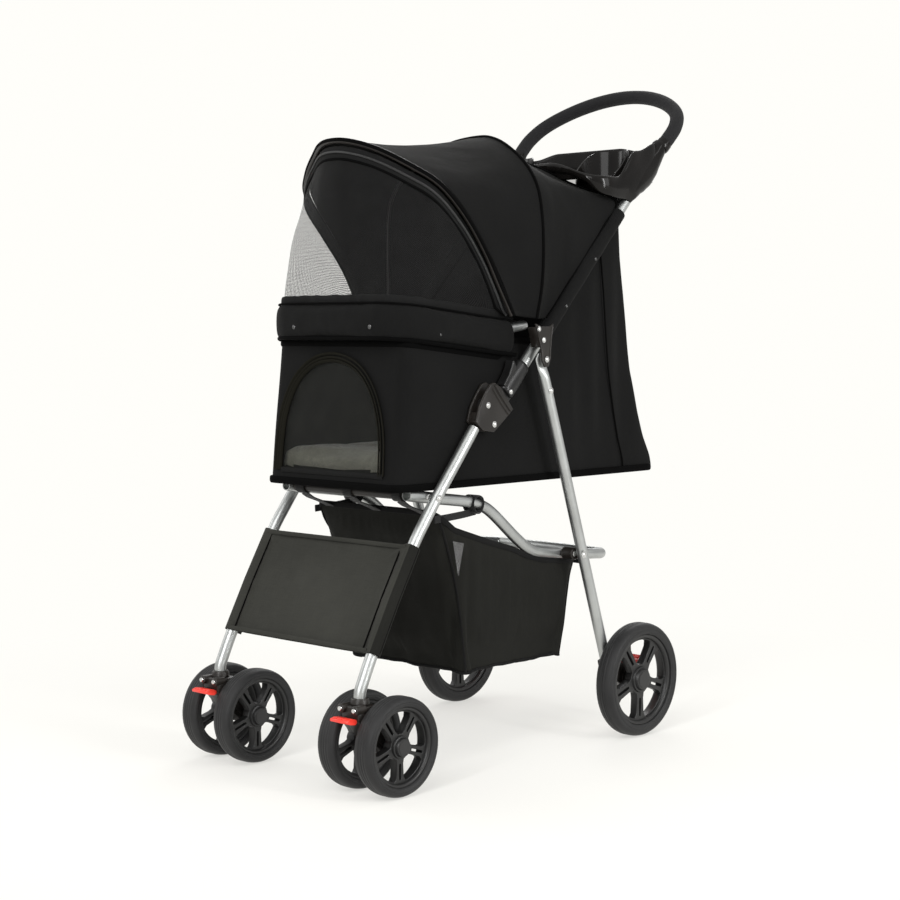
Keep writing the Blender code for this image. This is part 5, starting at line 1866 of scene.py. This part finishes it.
def make_basket():
    unit = rounded_box(1.0, -1.0, 1.0, 0.14, 6)
    ring = evenly(unit + [unit[0]], 201)[:-1]
    rows = []
    for j in range(9):
        share = max(0.02, j / 8.0)
        half_x, half_y = BASKET_HALF[0] * share, BASKET_HALF[1] * share
        rows.append([Vector((p.x * half_x, BASKET_MID_Y + p.y * half_y, BASKET_FLOOR)) for p in ring])
    for j in range(1, 41):
        rows.append([basket_spot(p, j / 40.0) for p in ring])
    bag = grid("basket_bag", rows, wrap=True)

    def hold(co):
        return 1.0 if co.z > basket_rim(co.y) - 0.006 else 0.0

    pinned_cloth(bag, hold, 18, pressure=0.6, gravity=1.0, bend=1.5, stiff=18.0, shrink=-0.02, reach=0.0075)

    def fade(co):
        return min(1.0, max(0.0, (basket_rim(co.y) - co.z) / 0.03))

    ruffled(bag, 0.0030, 0.045, 53, (1.0, 1.0, 0.45), fade)
    spots = [v.co.copy() for v in bag.data.vertices]
    walls = [spots[j * len(ring):(j + 1) * len(ring)] for j in range(8, len(rows))]
    thick(subdivided(bag), 0.0018, -1.0)
    swapped(bag, "basket_cloth", "seat_frame", "basket")
    folds_down(bag)
    rim = [basket_spot(p, 1.0) for p in ring]
    hem = sweep("basket_hem", rim, oval(0.0042, 0.0016, 0.8, 12), side=(0.0, 0.0, 1.0), closed=True)
    dressed(hem, "band_cloth", "seat_frame")
    make_basket_trim(walls)


def make_basket_trim(walls):
    """Piped corner seams, a bottom hem and the small net gussets behind the front panel."""
    corners = ((1, -1), (-1, -1), (1, 1), (-1, 1))
    count = len(walls[0])
    for n, (side, end) in enumerate(corners):

        def corner_share(k):
            spot = walls[0][k]
            return side * spot.x / BASKET_HALF[0] + end * (spot.y - BASKET_MID_Y) / BASKET_HALF[1]

        best = max(range(count), key=corner_share)
        run = evenly([row[best] for row in walls], 40)
        seam = sweep("basket_seam_%d" % n, run, circle(0.0019, 10))
        dressed(seam, "band_cloth", "seat_frame")
        folds_down(seam)
    foot = sweep("basket_foot_hem", walls[0], circle(0.0019, 10), closed=True)
    dressed(foot, "band_cloth", "seat_frame")
    folds_down(foot)
    for side, tag in SIDES:
        rows = []
        for j in range(9):
            t = j / 8.0
            low = Vector((side * 0.1230, -0.1258 + 0.0103 * t, 0.3130 - 0.0480 * t))
            high = Vector((side * 0.1230, -0.1035 - 0.0110 * t, 0.3080 - 0.0430 * t))
            rows.append([low.lerp(high, k / 4.0) for k in range(5)])
        gusset = grid("basket_gusset_" + tag, rows)
        dressed(gusset, "basket_net", "seat_frame")
        folds_down(gusset)


def leg_at(z):
    """Y of the front leg's middle line at a height."""
    return read_off([(height, y) for y, height in FRONT_LEG], z)


def make_leg_panel():
    rows = []
    for j in range(49):
        z = 0.1810 + 0.1335 * j / 48.0
        y = leg_at(z)
        slope = (leg_at(z + 0.002) - leg_at(z - 0.002)) / 0.004
        front = Vector((0.0, -1.0, slope)).normalized()
        row = []
        for side in (-1, 1):
            turns = range(0, 21) if side < 0 else range(20, -1, -1)
            for k in turns:
                a = math.radians(235.0 - 235.0 * k / 20.0)
                middle = Vector((side * FRAME_X, y, z))
                out = Vector((side, 0.0, 0.0)) * math.sin(a) * 0.0102
                row.append(middle + out + front * math.cos(a) * 0.0102)
            if side < 0:
                for k in range(1, 60):
                    x = -FRAME_X + 2.0 * FRAME_X * k / 60.0
                    crease = math.exp(-((FRAME_X - 0.0115 - abs(x)) / 0.0035) ** 2)
                    row.append(Vector((x, y, z)) + front * (0.0102 - 0.0040 * crease))
        rows.append(row)
    panel = grid("front_leg_panel", rows)

    def hold(co):
        return 1.0 if abs(co.x) > FRAME_X - 0.004 else 0.0

    pinned_cloth(panel, hold, 18, gravity=1.0, bend=3.0, stiff=25.0, shrink=-0.012, reach=0.0060)

    def fade(co):
        return min(1.0, max(0.0, (FRAME_X - abs(co.x)) / 0.03))

    ruffled(panel, 0.0012, 0.050, 59, (1.0, 1.0, 1.0), fade)
    thick(subdivided(panel), 0.0014, 0.0)
    swapped(panel, "panel_cloth", "lower_frame", "leg_panel")
    # Faces wrapped round the legs' outer sides take the darker basket cloth: painted shade, since that side
    # of the panel lies in shadow.
    panel.data.materials.append(LOOKS["basket_cloth"])
    for face in panel.data.polygons:
        face.material_index = 1 if abs(face.center.x) > FRAME_X + 0.0040 else 0
    heights = [0.1830 + 0.1290 * k / 40.0 for k in range(41)]
    for side, tag in SIDES:
        for name, out, ahead, up, radius in (
            ("panel_seam_", -0.0115, -0.0072, 0.0034, 0.0010),
            ("panel_sleeve_seam_", 0.0098, 0.0030, 0.0005, 0.0011),
        ):
            run = [Vector((side * (FRAME_X + out), leg_at(z) + ahead, z + up)) for z in heights]
            seam = sweep(name + tag, run, circle(radius, 8))
            dressed(seam, "trim_cloth", "lower_frame")
    for name, z in (("panel_low_hem", 0.1835), ("panel_top_hem", 0.3115)):
        y = leg_at(z)
        across = [-FRAME_X + 0.002 + (2.0 * FRAME_X - 0.004) * k / 48.0 for k in range(49)]
        run = [Vector((x, y - 0.0092, z + 0.0042)) for x in across]
        hem = sweep(name, run, oval(0.0030, 0.0011, 0.8, 10), side=(0.0, 0.0, 1.0))
        dressed(hem, "panel_cloth", "lower_frame")


def strap(name, points, body, width=0.0125, thickness=0.0011, side=None):
    run = evenly(spline(points, 8), 48)
    return dressed(sweep(name, run, oval(width, thickness, 0.5, 16), side=side), "webbing", body)


def webbing_loop(name, centre, reach, body):
    """Closed band of webbing round a cross tube or rail along X."""
    x, y, z = centre
    loop = [Vector((x, y + reach * math.sin(a), z + reach * math.cos(a)))
            for a in [2.0 * math.pi * k / 24 for k in range(24)]]
    band = sweep(name, loop, oval(0.0085, 0.0009, 0.5, 16), side=(1.0, 0.0, 0.0), closed=True)
    return dressed(band, "webbing", body)


def make_straps():
    """Webbing that hangs the basket from the seat rail and the front cross tube."""
    for side, tag in SIDES:
        x = side * SEAT_X
        loop = []
        for k in range(28):
            a = 2.0 * math.pi * k / 28
            slack = 0.0035 * max(0.0, -math.cos(a))
            loop.append(Vector((x, -0.0800 + 0.0105 * math.sin(a), 0.3620 + (0.0105 + slack) * math.cos(a))))
        band = sweep("rail_loop_" + tag, loop, oval(0.0110, 0.0010, 0.5, 16), side=(1.0, 0.0, 0.0),
                     closed=True)
        dressed(band, "webbing", "seat_frame")
        spots = [(x, -0.0760, 0.3500), (x, -0.1000, 0.3475), (x, -0.1300, 0.3455),
                 (x * 0.995, -0.1570, 0.3440)]
        strap("basket_side_strap_" + tag, spots, "seat_frame", 0.0050, 0.0010, side=(0.0, 0.0, 1.0))
        x = side * 0.1195
        spots = [(x, 0.1480, 0.2570), (x, 0.1500, 0.2640), (x, 0.1490, 0.2720)]
        strap("basket_rear_tab_" + tag, spots, "seat_frame", 0.0090, 0.0010, side=(1.0, 0.0, 0.0))
    for k, x in enumerate((-0.095, 0.0, 0.095)):
        webbing_loop("front_loop_%d" % k, (x, -0.2000, 0.3796), 0.0084, "seat_frame")
        spots = [(x, -0.1990, 0.3708), (x + 0.004, -0.1900, 0.3640), (x + 0.007, -0.1750, 0.3580),
                 (x + 0.008, -0.1560, 0.3500)]
        strap("basket_front_strap_%d" % k, spots, "seat_frame", 0.0085, 0.0010,
              side=(1.0, 0.0, 0.0))


def make_board():
    outline = rounded_box(0.1210, -0.2280, 0.3040, 0.026, 8)
    board = plate_z("floor_panel", outline, 0.3950, 0.3978)
    swapped(rounded(board, 0.0006, 2), "board", "seat_frame", "floor_board")


# --------------------------------------------------------------------- build
make_room()
make_materials()
make_tubes()
make_hinges()
make_brackets()
make_wheels()
make_casters()
make_rear_ends()
make_console()
make_grip()
make_canopy()
make_dome()
make_padded_bar()
make_cabin()
make_door()
make_board()
make_cushion()
make_basket()
make_leg_panel()
make_straps()
